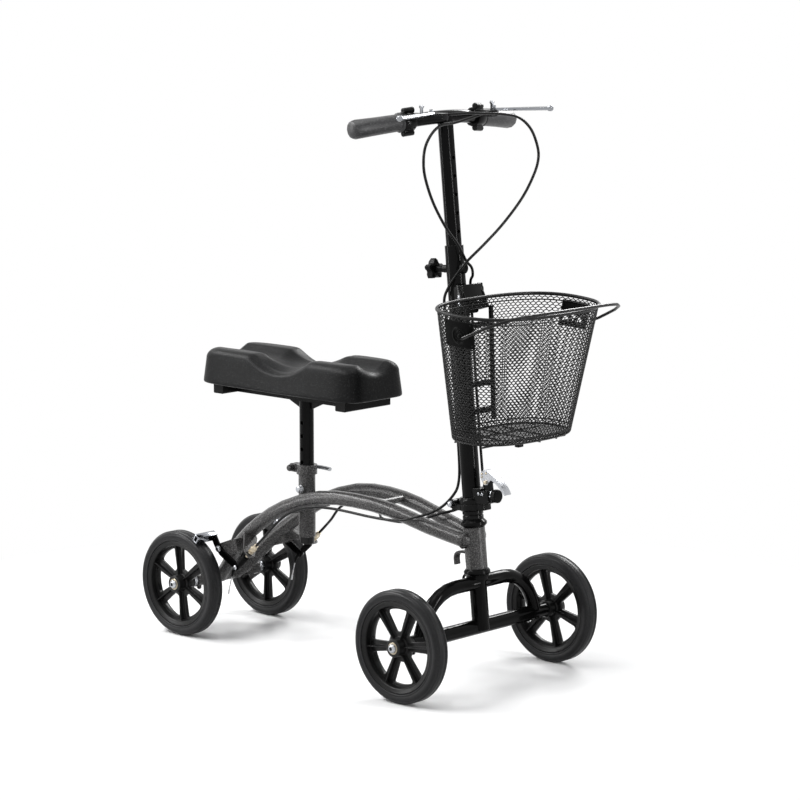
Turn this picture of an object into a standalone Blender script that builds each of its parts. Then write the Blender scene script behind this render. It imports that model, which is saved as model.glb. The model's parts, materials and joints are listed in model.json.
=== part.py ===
"""Folding knee walker: a four-wheeled steerable frame with a knee cushion and a front basket.

Metres, +Z up, +X forward, +Y to the rider's left. The origin is on the floor under the middle
of the walker's box. "Right" pieces are on the -Y side.
"""
import math

import bmesh
import bpy
from mathutils import Matrix, Vector

# driving dimensions
GAP = 0.0003                    # clearance that touching pieces keep

TYRE_RADIUS = 0.09525           # 7.5 inch wheel
TYRE_WIDTH = 0.030
TYRE_DEPTH = 0.0172             # radial thickness of the tyre
WHEELBASE = 0.6166
HUB_HALF = 0.0200
FRONT_SPACER = 0.0024           # end of the axle tube to the hub
REAR_SPACER = 0.01095
HUB_RADIUS = 0.0155
WEB_THICKNESS = 0.0060
SPOKES = 6
SPOKE_HALF_WIDTH = 0.0075
RIB_WIDTH = 0.0040
AXLE_BOLT_RADIUS = 0.0042

AXLE_TUBE_RADIUS = 0.0130
REAR_AXLE_HALF = 0.0780
FRONT_AXLE_HALF = 0.1700
# How far each wheel has rolled, by its spokes: zero is a spoke straight down.
WHEEL_TURN = {("front", -1): math.radians(-37.3), ("front", 1): math.radians(-15.0),
              ("rear", -1): math.radians(-5.2), ("rear", 1): 0.0}

SIDE_TUBE_RADIUS = 0.0127
TUBE_HEAD_BACK = 0.0240         # start of a side tube's centre line, behind the steering axis
TUBE_AXLE_AHEAD = 0.0083        # its end, ahead of the rear axle
# The left side tube's centre line: how far along from its start to its end, left, and up.
SIDE_TUBE_LINE = (
    (0.0000, 0.0190, 0.2450), (0.1186, 0.0280, 0.2590), (0.2542, 0.0355, 0.2780),
    (0.3898, 0.0433, 0.2858), (0.5254, 0.0485, 0.2805), (0.6610, 0.0520, 0.2540),
    (0.7627, 0.0530, 0.2190), (0.8644, 0.0440, 0.1740), (0.9492, 0.0300, 0.1220),
    (1.0000, 0.0185, 0.0952),
)
CROSS_BRACE_X = 0.1070
CROSS_BRACE_RADIUS = 0.0062
SADDLE_TUBE_RADIUS = 0.0110

SEAT_X = -0.0976                # seat post axis
POST_RADIUS = 0.0129
SOCKET_RADIUS = 0.0150
SOCKET_BOTTOM = 0.1940
SOCKET_TOP = 0.3230
POST_BOTTOM = 0.1812
POST_PLUG_HEIGHT = 0.0120
SEAT_PIN_Z = 0.2815
SEAT_HOLE_PITCH = 0.0236
SEAT_HOLE_RADIUS = 0.0040
CLAMP_HEIGHT = 0.0170
CLAMP_RADIUS = 0.0185
RAIL_TOP = 0.4580               # top of the seat's cross rails
RAIL_HEIGHT = 0.0180
RAIL_WIDTH = 0.0240
RAIL_HALF = 0.0570
FRONT_RAIL_X = 0.0400
REAR_RAIL_X = -0.2630
SPINE_HALF = 0.0190
SPINE_HEIGHT = 0.0150

CUSHION_REAR = -0.3030
CUSHION_FRONT = 0.0830
CUSHION_HALF = 0.0760
CUSHION_HEIGHT = 0.0630

RAKE = math.radians(5.67)       # steering axis and column lean back by this angle
STEER_X = 0.3140                # steering axis at the height STEER_Z
STEER_Z = 0.1000
STEER_LEAD = 0.0057             # that point ahead of the front axle
STEERER_RADIUS = 0.0127
HEAD_TUBE_RADIUS = 0.0186
HEAD_TUBE_WALL = 0.0030
HEAD_TUBE_FOOT = 0.0958         # distances along the steering axis, from STEER_Z
HEAD_TUBE_LENGTH = 0.0705
LOWER_CUP_HEIGHT = 0.0097
UPPER_CUP_HEIGHT = 0.0139
CUP_RADIUS = 0.0228
LOCKNUT_HEIGHT = 0.0142
LOCKNUT_RADIUS = 0.0178
CROWN_RADIUS = 0.0150
FORK_TUBE_RADIUS = 0.0120
ARCH_Z = 0.1722
ARCH_INSET = 0.0230             # the arch's legs inside the ends of the axle tube
ARCH_BEND = 0.0870

FOLD_BASE_HEIGHT = 0.0120
FOLD_HEAD_HEIGHT = 0.0105
FOLD_RING_RADIUS = 0.0225
HINGE_BACK = 0.0290             # hinge pin behind the column axis
HINGE_PIN_RADIUS = 0.0032
KNUCKLE_RADIUS = 0.0075
KNUCKLE_HALF = 0.0200
NOSE_FORWARD = 0.0340           # front of the lower half, ahead of the column axis
BOSS_FORWARD = 0.0460           # front of the casting that carries the latch
BOSS_HALF = 0.0115
BOSS_TOP = 0.0210
BOSS_STEP = 0.0265
LUG_HALF = 0.0052
LATCH_AHEAD = 0.0400            # latch pivot ahead of the column axis, and above the casting's foot
LATCH_RISE = 0.0365
LATCH_PIN_RADIUS = 0.0022
LATCH_CHEEK = 0.0016
LATCH_HALF = 0.0078
LATCH_THICK = 0.0026

COLUMN_RADIUS = 0.0159
COLUMN_TOP = 0.6424
INNER_RADIUS = 0.0132
INNER_BOTTOM = 0.4990
KNOB_S = 0.6033                 # height knob on the column, and the pitch of the holes above it
COLUMN_HOLE_PITCH = 0.0308
COLUMN_HOLE_RADIUS = 0.0036

BAR_RADIUS = 0.0111
CLAMP_Y = 0.0873                # where the brake levers clamp on the handlebar
CLAMP_BACK = 0.0922             # behind the foot of the steering axis
CLAMP_Z = 0.9478
BAR_SWEEP = 0.1720              # the bar's ends run back and down by these amounts per metre
BAR_DROP = 0.0855
BAR_BEND_Y = 0.0600
PERCH_WIDTH = 0.0240
GRIP_RADIUS = 0.0145
GRIP_END_RADIUS = 0.0162
GRIP_END_Y = 0.1990
GRIP_CAP = 0.0038
BAR_HALF = GRIP_END_Y - GRIP_CAP - 2 * GAP
# Places on the handlebar: ahead of the foot of the steering axis, outwards, and up.
LEVER_PIVOT = (-0.0440, 0.0790, 0.9630)
LEVER_TIP = (-0.0130, 0.1880, 0.9610)
PLUNGER = (-0.0572, 0.0877, 0.9766)
BARREL = (-0.0340, 0.0500, 0.9600)

# The basket's middle is given ahead of the foot of the steering axis.
BASKET_RIM_AHEAD = 0.0802
BASKET_RIM_Z = 0.6485
BASKET_RIM_HALF = (0.0880, 0.1615)
BASKET_RIM_TILT = -0.0778
BASKET_FLOOR_AHEAD = 0.0664
BASKET_FLOOR_Z = 0.4322
BASKET_FLOOR_HALF = (0.0655, 0.1185)
BASKET_FLOOR_TILT = -0.0430
BASKET_CORNER = 2.6             # exponent of the rounded outline
BASKET_WALL = 0.0024
RIM_WIRE_RADIUS = 0.0030
PLATE_RISE = 0.0026             # side plates stand out from the wall
BAIL_AHEAD = 0.1880             # front of the bail
BAIL_HALF = 0.1712              # at its pivots, and at its front
BAIL_FRONT_HALF = 0.1688
BAIL_RADIUS = 0.0026
BAIL_PIVOT = (0.1060, 0.6140)
BAIL_LIFT = 0.0370              # front of the bail above its pivots
BAIL_CORNER = 0.0660

SHOE_GAP = 0.0022               # released brake shoe to tyre
SHOE_HEIGHT = 0.0138
SHOE_THICKNESS = 0.0100
SHOE_WALL = 0.0020
SHOE_ANGLE = math.radians(59.2)  # where the shoe meets the tyre, above the horizontal
BRAKE_OUT = 0.0020              # brake arms outside the ends of the rear axle tube
BRAKE_PIVOT_AHEAD = 0.0678      # these are ahead of the rear axle, and up
BRAKE_PIVOT_Z = 0.1630
BRAKE_FOOT_AHEAD = 0.1131
BRAKE_FOOT_Z = 0.1358
CABLE_STOP_AHEAD = 0.1453
CABLE_STOP_Z = 0.1655
BRAKE_ARM_WIDTH = 0.0130
BRAKE_ARM_THICKNESS = 0.0035
BRAKE_BOLT_RADIUS = 0.0035
CABLE_RADIUS = 0.0024

FRONT_AXLE_X = STEER_X - STEER_LEAD
REAR_AXLE_X = FRONT_AXLE_X - WHEELBASE
BRAKE_Y = REAR_AXLE_HALF + BRAKE_OUT
BRAKE_PIVOT = (REAR_AXLE_X + BRAKE_PIVOT_AHEAD, BRAKE_PIVOT_Z)
BRAKE_FOOT = (REAR_AXLE_X + BRAKE_FOOT_AHEAD, BRAKE_FOOT_Z)
CABLE_STOP_X = REAR_AXLE_X + CABLE_STOP_AHEAD
CENTRE_X = (STEER_X + BAIL_AHEAD + BAIL_RADIUS + REAR_AXLE_X - TYRE_RADIUS) / 2

# finishes: colour, roughness, metallic
SILVER_VEIN = ((0.17, 0.17, 0.18), 0.38, 0.75)
GLOSS_BLACK = ((0.008, 0.008, 0.009), 0.16, 0.0)
SATIN_BLACK = ((0.014, 0.014, 0.015), 0.42, 0.0)
RUBBER = ((0.035, 0.035, 0.037), 0.62, 0.0)
NYLON = ((0.012, 0.012, 0.013), 0.45, 0.0)
FOAM_SKIN = ((0.016, 0.016, 0.017), 0.55, 0.0)
ZINC = ((0.62, 0.64, 0.66), 0.28, 1.0)
CHROME = ((0.80, 0.81, 0.83), 0.10, 1.0)
BRASS = ((0.70, 0.52, 0.26), 0.28, 1.0)
MESH_BLACK = ((0.020, 0.020, 0.022), 0.40, 0.3)

for old in list(bpy.data.objects):
    bpy.data.objects.remove(old, do_unlink=True)


# places
def at(x, y, z):
    """A point given from the middle of the wheelbase, moved to the walker's own origin."""
    return Vector((x - CENTRE_X, y, z))


def fore(ahead, y, z):
    """A point whose first number is ahead of the foot of the steering axis."""
    return at(STEER_X + ahead, y, z)


UP_COLUMN = Vector((-math.sin(RAKE), 0, math.cos(RAKE)))
AHEAD = Vector((math.cos(RAKE), 0, math.sin(RAKE)))
LEFT = Vector((0, 1, 0))
UP = Vector((0, 0, 1))


def column(ahead, left, along):
    """A point given from the steering axis: ahead of it, left of it and along it."""
    return at(STEER_X, 0, STEER_Z) + AHEAD * ahead + LEFT * left + UP_COLUMN * along


# modelling helpers
def finish_material(name, finish):
    colour, roughness, metallic = finish
    made = bpy.data.materials.new(name + "_finish")
    made.use_nodes = True
    shader = made.node_tree.nodes["Principled BSDF"]
    shader.inputs["Base Color"].default_value = (*colour, 1)
    shader.inputs["Roughness"].default_value = roughness
    shader.inputs["Metallic"].default_value = metallic
    return made


def piece(name, bm, finish=None, pivot=None, sharp=35):
    """Makes an object of a finished bmesh, with its origin at the pivot."""
    pivot = pivot or Vector((0, 0, 0))
    bmesh.ops.recalc_face_normals(bm, faces=bm.faces)
    bmesh.ops.translate(bm, verts=bm.verts, vec=-pivot)
    mesh = bpy.data.meshes.new(name)
    bm.to_mesh(mesh)
    bm.free()
    mesh.shade_smooth()
    mesh.set_sharp_from_angle(angle=math.radians(sharp))
    made = bpy.data.objects.new(name, mesh)
    made.location = pivot
    bpy.context.scene.collection.objects.link(made)
    if finish:
        mesh.materials.append(finish_material(name, finish))
    return made


def helper(name, bm):
    """A shape that only joins or cuts another piece."""
    made = piece(name, bm)
    made.hide_render = True
    made.display_type = "WIRE"
    return made


def combine(body, shapes, operation):
    """Joins each helper shape to the body, or cuts it away, in order."""
    for shape in shapes:
        step = body.modifiers.new(shape.name, "BOOLEAN")
        step.operation = operation
        step.solver = "EXACT"
        step.object = shape
    return body


def frame_for(axis):
    """Two directions square to an axis."""
    axis = axis.normalized()
    side = axis.cross(UP)
    if side.length < 0.2:
        side = axis.cross(Vector((1, 0, 0)))
    side.normalize()
    return side, axis.cross(side).normalized()


def loft(bm, rings):
    """Skins rings of points, each with the same count, and closes both ends."""
    loops = [[bm.verts.new(point) for point in ring] for ring in rings]
    count = len(rings[0])
    for low, high in zip(loops, loops[1:]):
        for i in range(count):
            j = (i + 1) % count
            bm.faces.new((low[i], low[j], high[j], high[i]))
    bm.faces.new(list(reversed(loops[0])))
    bm.faces.new(loops[-1])


def bar(bm, path, radius, sides=12):
    """Sweeps a round section along a path; the radius is one value or one for each point."""
    radii = radius if isinstance(radius, (list, tuple)) else [radius] * len(path)
    tangents = []
    for i in range(len(path)):
        ahead = path[min(i + 1, len(path) - 1)] - path[max(i - 1, 0)]
        tangents.append(ahead.normalized())
    side, other = frame_for(tangents[0])
    rings = []
    for point, tangent, size in zip(path, tangents, radii):
        side = (side - tangent * side.dot(tangent)).normalized()
        other = tangent.cross(side)
        ring = []
        for k in range(sides):
            turn = 2 * math.pi * k / sides
            ring.append(point + (side * math.cos(turn) + other * math.sin(turn)) * size)
        rings.append(ring)
    loft(bm, rings)


def rod(bm, start, end, radius, sides=12):
    bar(bm, [start, end], radius, sides)


def turned(bm, foot, axis, profile, sides=24, closed=False):
    """Turns a profile of (radius, height) about an axis. A closed profile makes a ring."""
    axis = axis.normalized()
    side, other = frame_for(axis)
    loops = []
    for radius, height in profile:
        if radius < 1e-7:
            loops.append([bm.verts.new(foot + axis * height)])
            continue
        loop = []
        for k in range(sides):
            turn = 2 * math.pi * k / sides
            spoke = side * math.cos(turn) + other * math.sin(turn)
            loop.append(bm.verts.new(foot + axis * height + spoke * radius))
        loops.append(loop)
    pairs = list(zip(loops, loops[1:]))
    if closed:
        pairs.append((loops[-1], loops[0]))
    for low, high in pairs:
        for i in range(sides):
            j = (i + 1) % sides
            corners = [low[i % len(low)], low[j % len(low)], high[j % len(high)], high[i % len(high)]]
            kept = [c for n, c in enumerate(corners) if c not in corners[:n]]
            if len(kept) > 2:
                bm.faces.new(kept)


def slab(bm, outline, thickness):
    """Pushes a flat outline of points along a vector."""
    loft(bm, [outline, [point + thickness for point in outline]])


def block(bm, low, high):
    """A box between two corners that are square to the axes."""
    xs, ys, zs = zip(low, high)
    outline = [Vector((xs[i], ys[j], zs[0])) for i, j in ((0, 0), (1, 0), (1, 1), (0, 1))]
    slab(bm, outline, Vector((0, 0, zs[1] - zs[0])))


def rounded(points, radius, steps=3):
    """A flat outline with each corner rounded. Points are (u, v)."""
    radii = radius if isinstance(radius, (list, tuple)) else [radius] * len(points)
    counts = steps if isinstance(steps, (list, tuple)) else [steps] * len(points)
    out = []
    for i, here in enumerate(points):
        here = Vector(here)
        before = (Vector(points[i - 1]) - here)
        after = (Vector(points[(i + 1) % len(points)]) - here)
        half = before.angle(after) / 2
        if radii[i] <= 0 or abs(half - math.pi / 2) < 0.02:
            out.append(here)
            continue
        reach = min(radii[i] / math.tan(half), before.length * 0.48, after.length * 0.48)
        size = reach * math.tan(half)
        start = here + before.normalized() * reach
        end = here + after.normalized() * reach
        centre = here + (before.normalized() + after.normalized()).normalized() * (size / math.sin(half))
        a, b = start - centre, end - centre
        sweep = a.angle_signed(b)
        for k in range(counts[i] + 1):
            turn = Matrix.Rotation(-sweep * k / counts[i], 2)
            out.append(centre + turn @ a)
    return out


def strap(points, width, steps=5):
    """Outline of a flat strap along (u, v) points, with round ends."""
    half = width / 2
    left, right = [], []
    vectors = [Vector(p) for p in points]
    for i, here in enumerate(vectors):
        ahead = vectors[min(i + 1, len(vectors) - 1)] - vectors[max(i - 1, 0)]
        side = Vector((-ahead.y, ahead.x)).normalized() * half
        left.append(here + side)
        right.append(here - side)

    def cap(centre, start):
        arm = start - centre
        return [centre + Matrix.Rotation(-math.pi * k / steps, 2) @ arm for k in range(1, steps)]

    return left + cap(vectors[-1], left[-1]) + right[::-1] + cap(vectors[0], right[0])


def smooth(points, steps=4):
    """Reads a smooth curve through the points."""
    points = [Vector(p) for p in points]
    out = []
    for i in range(len(points) - 1):
        p1, p2 = points[i], points[i + 1]
        p0 = points[i - 1] if i else p1 * 2 - p2
        p3 = points[i + 2] if i + 2 < len(points) else p2 * 2 - p1
        for k in range(steps):
            t = k / steps
            out.append(0.5 * (2 * p1 + (p2 - p0) * t + (2 * p0 - 5 * p1 + 4 * p2 - p3) * t * t
                              + (3 * p1 - p0 - 3 * p2 + p3) * t ** 3))
    out.append(points[-1])
    return out


def evenly(points, spacing):
    """Walks a fine polyline and keeps a point every spacing, with both ends."""
    total = sum((b - a).length for a, b in zip(points, points[1:]))
    count = max(2, round(total / spacing))
    step = total / count
    out, walked, target = [points[0].copy()], 0.0, step
    for a, b in zip(points, points[1:]):
        length = (b - a).length
        while len(out) < count and walked + length >= target - 1e-9:
            out.append(a.lerp(b, (target - walked) / length))
            target += step
        walked += length
    out.append(points[-1].copy())
    return out


def cable(names, route, splits, radius=CABLE_RADIUS):
    """Brake cable housing along one route, in lengths that meet where the walker bends.

    The route holds world points; each split is the number of a route point where one length
    ends and the next begins, both square to the cable.
    """
    steps = 16
    fine = smooth(route, steps)
    stops = [0] + [n * steps for n in splits] + [len(fine) - 1]
    for name, first, last in zip(names, stops, stops[1:]):
        points = evenly(fine[first:last + 1], radius * 6)
        for end, inner, here in ((0, 1, first), (-1, -2, last)):
            if 0 < here < len(fine) - 1:
                along = (fine[here + 1] - fine[here - 1]).normalized() * (1 if end == 0 else -1)
                lead = [fine[here] + along * GAP / 2, fine[here] + along * 1.2 * radius]
                points[end] = lead[0]
                points.insert(1 if end == 0 else len(points) - 1, lead[1])
        curve = bpy.data.curves.new(name, "CURVE")
        curve.dimensions = "3D"
        curve.bevel_depth = radius
        curve.bevel_resolution = 1
        curve.use_fill_caps = True
        line = curve.splines.new("POLY")
        line.points.add(len(points) - 1)
        for slot, point in zip(line.points, points):
            slot.co = (*point, 1)
        made = bpy.data.objects.new(name, curve)
        bpy.context.scene.collection.objects.link(made)
        curve.materials.append(finish_material(name, SATIN_BLACK))


SIDES = (("right", -1), ("left", 1))

# wheels
TYRE_INNER = TYRE_RADIUS - TYRE_DEPTH
RIM_RADIUS = TYRE_INNER - GAP
RIM_INNER = RIM_RADIUS - 0.0115
RIM_HALF = TYRE_WIDTH / 2 - 0.0020
WINDOW_OUTER = RIM_INNER - 0.0030
WINDOW_INNER = HUB_RADIUS + 0.0090
WEB_HALF = WEB_THICKNESS / 2
WHEEL_SIDES = 24


def tyre(name, centre):
    shoulder = TYRE_WIDTH / 2
    profile = [
        (TYRE_INNER, -shoulder), (TYRE_RADIUS - 0.0060, -shoulder), (TYRE_RADIUS, -shoulder + 0.0080),
        (TYRE_RADIUS, shoulder - 0.0080), (TYRE_RADIUS - 0.0060, shoulder), (TYRE_INNER, shoulder),
    ]
    bm = bmesh.new()
    turned(bm, centre, LEFT, profile, sides=WHEEL_SIDES, closed=True)
    return piece(name, bm, RUBBER, centre)


def wheel_windows(turned_by):
    """Cuts all the openings between the spokes of a wheel at the origin."""
    half = math.pi / SPOKES
    corner = []
    for sign in (1, -1):
        spoke = Vector((math.cos(half), math.sin(half)))
        inward = Vector((math.sin(half), -math.cos(half)))
        inner = spoke * WINDOW_INNER + inward * SPOKE_HALF_WIDTH
        outer = spoke * WINDOW_OUTER + inward * (SPOKE_HALF_WIDTH + 0.0015)
        corner.append([Vector((p.x, p.y * sign)) for p in (inner, outer)])
    points = [corner[0][0], corner[0][1], Vector((WINDOW_OUTER, 0)), corner[1][1], corner[1][0]]
    outline = rounded(points, [0.004, 0.0085, 0, 0.0085, 0.004], [1, 2, 1, 2, 1])
    bm = bmesh.new()
    for k in range(SPOKES):
        turn = Matrix.Rotation(math.pi / 2 + half - turned_by + 2 * math.pi * k / SPOKES, 2)
        ring = []
        for p in outline:
            q = turn @ p
            ring.append(Vector((q.x, -TYRE_WIDTH, q.y)))
        slab(bm, ring, Vector((0, 2 * TYRE_WIDTH, 0)))
    return bm


def wheel(name, centre, turned_by):
    """Moulded wheel: rim, webbed spokes with a rib down each face, and a hub."""
    bm = bmesh.new()
    turned(bm, centre, LEFT,
           [(RIM_INNER, -WEB_HALF - 0.0010), (RIM_INNER + 0.0025, -RIM_HALF), (RIM_RADIUS, -RIM_HALF),
            (RIM_RADIUS, RIM_HALF), (RIM_INNER + 0.0025, RIM_HALF), (RIM_INNER, WEB_HALF + 0.0010)],
           sides=WHEEL_SIDES, closed=True)
    made = piece(name, bm, NYLON, centre)
    bm = bmesh.new()
    turned(bm, centre, LEFT,
           [(HUB_RADIUS - 0.0030, -WEB_HALF), (RIM_INNER + 0.0020, -WEB_HALF),
            (RIM_INNER + 0.0020, WEB_HALF), (HUB_RADIUS - 0.0030, WEB_HALF)], sides=12, closed=True)
    web = helper(name + "_web", bm)
    windows = helper(name + "_windows", wheel_windows(turned_by))
    windows.location = centre
    combine(web, [windows], "DIFFERENCE")
    combine(made, [web], "UNION")
    ribs = bmesh.new()
    for k in range(SPOKES // 2):
        turn = Matrix.Rotation(math.pi / 2 + turned_by + 2 * math.pi * k / SPOKES, 3, "Y")
        for sign in (1, -1):
            along = turn @ Vector((1, 0, 0)) * sign
            across = turn @ Vector((0, 0, 1)) * (RIB_WIDTH / 2)
            inner, outer = HUB_RADIUS - 0.003, RIM_INNER + 0.004
            top = RIM_HALF - 0.0030
            ring = [centre + along * r + across * s + LEFT * -top
                    for r, s in ((inner, -1), (outer, -1), (outer, 1), (inner, 1))]
            slab(ribs, ring, LEFT * 2 * top)
    rib_shape = helper(name + "_ribs", ribs)
    bm = bmesh.new()
    turned(bm, centre, LEFT,
           [(0, -HUB_HALF), (HUB_RADIUS - 0.0015, -HUB_HALF), (HUB_RADIUS, -HUB_HALF + 0.0015),
            (HUB_RADIUS, HUB_HALF - 0.0015), (HUB_RADIUS - 0.0015, HUB_HALF), (0, HUB_HALF)], sides=12)
    hub = helper(name + "_hub", bm)
    combine(made, [rib_shape, hub], "UNION")
    bm = bmesh.new()
    rod(bm, centre - LEFT * 0.04, centre + LEFT * 0.04, AXLE_BOLT_RADIUS + GAP, 10)
    combine(made, [helper(name + "_bore", bm)], "DIFFERENCE")
    return made


def axle_bolt(name, hub, side, tube_end):
    """Axle bolt from outside the hub into the axle tube, with its washer and spacer."""
    out = LEFT * side
    hub_face = HUB_HALF
    inner_face = tube_end - abs(hub.y)
    profile = [
        (0, inner_face - 0.026), (AXLE_BOLT_RADIUS, inner_face - 0.026),
        (AXLE_BOLT_RADIUS, inner_face + GAP), (0.0118, inner_face + GAP),
        (0.0118, -hub_face - GAP), (AXLE_BOLT_RADIUS, -hub_face - GAP),
        (AXLE_BOLT_RADIUS, hub_face + GAP), (0.0090, hub_face + GAP),
        (0.0072, hub_face + 0.0036), (0.0040, hub_face + 0.0060), (0, hub_face + 0.0064),
    ]
    bm = bmesh.new()
    turned(bm, hub, out, profile, sides=10)
    return piece(name, bm, ZINC, hub)


FRONT_HUB_Y = FRONT_AXLE_HALF + FRONT_SPACER + HUB_HALF
REAR_HUB_Y = REAR_AXLE_HALF + REAR_SPACER + HUB_HALF
FRONT_HUB = {s: at(FRONT_AXLE_X, s * FRONT_HUB_Y, TYRE_RADIUS) for s in (-1, 1)}
REAR_HUB = {s: at(REAR_AXLE_X, s * REAR_HUB_Y, TYRE_RADIUS) for s in (-1, 1)}
for end, hubs, tube_end in (("front", FRONT_HUB, FRONT_AXLE_HALF), ("rear", REAR_HUB, REAR_AXLE_HALF)):
    for word, s in SIDES:
        tyre(f"tyre_{end}_{word}", hubs[s])
        wheel(f"wheel_{end}_{word}", hubs[s], WHEEL_TURN[end, s])
        axle_bolt(f"axle_bolt_{end}_{word}", hubs[s], s, tube_end)

# brake geometry in the side plane
SHOE_REACH = TYRE_RADIUS + SHOE_GAP + SHOE_HEIGHT / 2
SHOE = (REAR_AXLE_X + SHOE_REACH * math.cos(SHOE_ANGLE), TYRE_RADIUS + SHOE_REACH * math.sin(SHOE_ANGLE))
PULL = (Vector((CABLE_STOP_X, 0, CABLE_STOP_Z)) - Vector((BRAKE_FOOT[0], 0, BRAKE_FOOT[1]))).normalized()
STOP_POINT = Vector((CABLE_STOP_X, 0, BRAKE_FOOT[1] + (CABLE_STOP_X - BRAKE_FOOT[0]) * PULL.z / PULL.x))

# main frame
TUBE_START = STEER_X - TUBE_HEAD_BACK
TUBE_END = REAR_AXLE_X + TUBE_AXLE_AHEAD
SIDE_TUBE_ROUTE = [(TUBE_START + (TUBE_END - TUBE_START) * share, y, z) for share, y, z in SIDE_TUBE_LINE]


def set_screw(bm, x, y):
    """Cap nut under the end of an axle tube."""
    top = TYRE_RADIUS - AXLE_TUBE_RADIUS + 0.0020
    turned(bm, at(x, y, top), -UP,
           [(0, 0), (0.0046, 0), (0.0046, 0.0052), (0.0030, 0.0078), (0, 0.0084)], 6)


def side_tube(side):
    bm = bmesh.new()
    route = smooth([at(x, y * side, z) for x, y, z in SIDE_TUBE_ROUTE], 2)
    bar(bm, route, SIDE_TUBE_RADIUS, 10)
    return bm


main_frame = piece("main_frame", side_tube(-1), SILVER_VEIN)
shapes = [helper("side_tube_left", side_tube(1))]

bm = bmesh.new()
turned(bm, column(0, 0, HEAD_TUBE_FOOT), UP_COLUMN,
       [(0, 0), (HEAD_TUBE_RADIUS, 0), (HEAD_TUBE_RADIUS, HEAD_TUBE_LENGTH), (0, HEAD_TUBE_LENGTH)], 20)
shapes.append(helper("head_tube", bm))

bm = bmesh.new()
rod(bm, at(REAR_AXLE_X, -REAR_AXLE_HALF, TYRE_RADIUS), at(REAR_AXLE_X, REAR_AXLE_HALF, TYRE_RADIUS),
    AXLE_TUBE_RADIUS, 14)
shapes.append(helper("rear_axle_tube", bm))
bm = bmesh.new()
for s in (-1, 1):
    set_screw(bm, REAR_AXLE_X, s * (REAR_AXLE_HALF - 0.0110))
shapes.append(helper("rear_set_screws", bm))

bm = bmesh.new()
rod(bm, at(SEAT_X, 0, SOCKET_BOTTOM), at(SEAT_X, 0, SOCKET_TOP), SOCKET_RADIUS, 16)
shapes.append(helper("seat_socket", bm))


def route_at(x):
    """The side tube's centre line at a place along the walker."""
    for a, b in zip(SIDE_TUBE_ROUTE, SIDE_TUBE_ROUTE[1:]):
        if b[0] <= x <= a[0]:
            t = (a[0] - x) / (a[0] - b[0])
            return a[1] + (b[1] - a[1]) * t, a[2] + (b[2] - a[2]) * t
    return SIDE_TUBE_ROUTE[-1][1:]


tube_y, tube_z = route_at(SEAT_X)
bm = bmesh.new()
rod(bm, at(SEAT_X, -tube_y, tube_z - 0.004), at(SEAT_X, tube_y, tube_z - 0.004), SADDLE_TUBE_RADIUS, 12)
shapes.append(helper("saddle_tube", bm))

brace_y, brace_z = route_at(CROSS_BRACE_X)
bm = bmesh.new()
rod(bm, at(CROSS_BRACE_X, -brace_y, brace_z + 0.003), at(CROSS_BRACE_X, brace_y, brace_z + 0.003),
    CROSS_BRACE_RADIUS, 8)
shapes.append(helper("cross_brace", bm))

for word, s in SIDES:
    # Folded bracket that carries the brake arm, welded to the side tube.
    inner_y = 0.0400 * s
    outer_y = (BRAKE_Y - BRAKE_ARM_THICKNESS / 2 - GAP) * s
    px, pz = BRAKE_PIVOT
    outline = rounded([(px - 0.009, pz + 0.006), (px + 0.038, pz + 0.024),
                       (px + 0.048, pz + 0.000), (px + 0.010, pz - 0.013)], 0.004, 2)
    bm = bmesh.new()
    slab(bm, [at(u, outer_y, v) for u, v in outline], LEFT * (inner_y - outer_y))
    shapes.append(helper(f"brake_bracket_{word}", bm))
    # Tab that the cable adjuster screws into, square to the cable's pull.
    lift = Vector((-PULL.z, 0, PULL.x))
    stop = at(STOP_POINT.x, 0, STOP_POINT.z)
    tab = rounded([(BRAKE_Y - 0.0080, -0.0085), (BRAKE_Y + 0.0080, -0.0085), (BRAKE_Y + 0.0080, 0.0100),
                   (0.0640, 0.0440), (0.0440, 0.0440), (0.0440, 0.0260)], [0.003, 0.003, 0.003, 0, 0, 0.006], 2)
    bm = bmesh.new()
    slab(bm, [stop + LEFT * s * y + lift * n - PULL * 0.0015 for y, n in tab], PULL * 0.0030)
    shapes.append(helper(f"cable_stop_{word}", bm))

# Steering stop: a bent finger behind the foot of the head tube.
finger = [(-0.0165, 0.0270), (-0.0350, 0.0270), (-0.0435, 0.0200), (-0.0440, 0.0050)]
bm = bmesh.new()
path = smooth([column(a, 0, HEAD_TUBE_FOOT + up) for a, up in finger], 3)
rings = []
for i, p in enumerate(path):
    ahead = (path[min(i + 1, len(path) - 1)] - path[max(i - 1, 0)]).normalized()
    thick = ahead.cross(LEFT).normalized() * 0.0020
    wide = LEFT * 0.0060
    rings.append([p + thick + wide, p - thick + wide, p - thick - wide, p + thick - wide])
loft(bm, rings)
shapes.append(helper("steering_stop", bm))

combine(main_frame, shapes, "UNION")

cutters = []
bm = bmesh.new()
rod(bm, column(0, 0, HEAD_TUBE_FOOT - 0.02), column(0, 0, HEAD_TUBE_FOOT + HEAD_TUBE_LENGTH + 0.02),
    HEAD_TUBE_RADIUS - HEAD_TUBE_WALL, 16)
cutters.append(helper("head_tube_bore", bm))
bm = bmesh.new()
rod(bm, at(SEAT_X, 0, SOCKET_BOTTOM - 0.02), at(SEAT_X, 0, SOCKET_TOP + 0.02), POST_RADIUS + GAP, 16)
cutters.append(helper("seat_socket_bore", bm))
bm = bmesh.new()
rod(bm, at(SEAT_X, -0.06, SEAT_PIN_Z), at(SEAT_X, 0, SEAT_PIN_Z), SEAT_HOLE_RADIUS, 12)
cutters.append(helper("seat_pin_bore", bm))
bm = bmesh.new()
for s in (-1, 1):
    rod(bm, at(REAR_AXLE_X, s * (REAR_AXLE_HALF - 0.032), TYRE_RADIUS),
        at(REAR_AXLE_X, s * (REAR_AXLE_HALF + 0.010), TYRE_RADIUS), AXLE_BOLT_RADIUS + GAP, 12)
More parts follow.
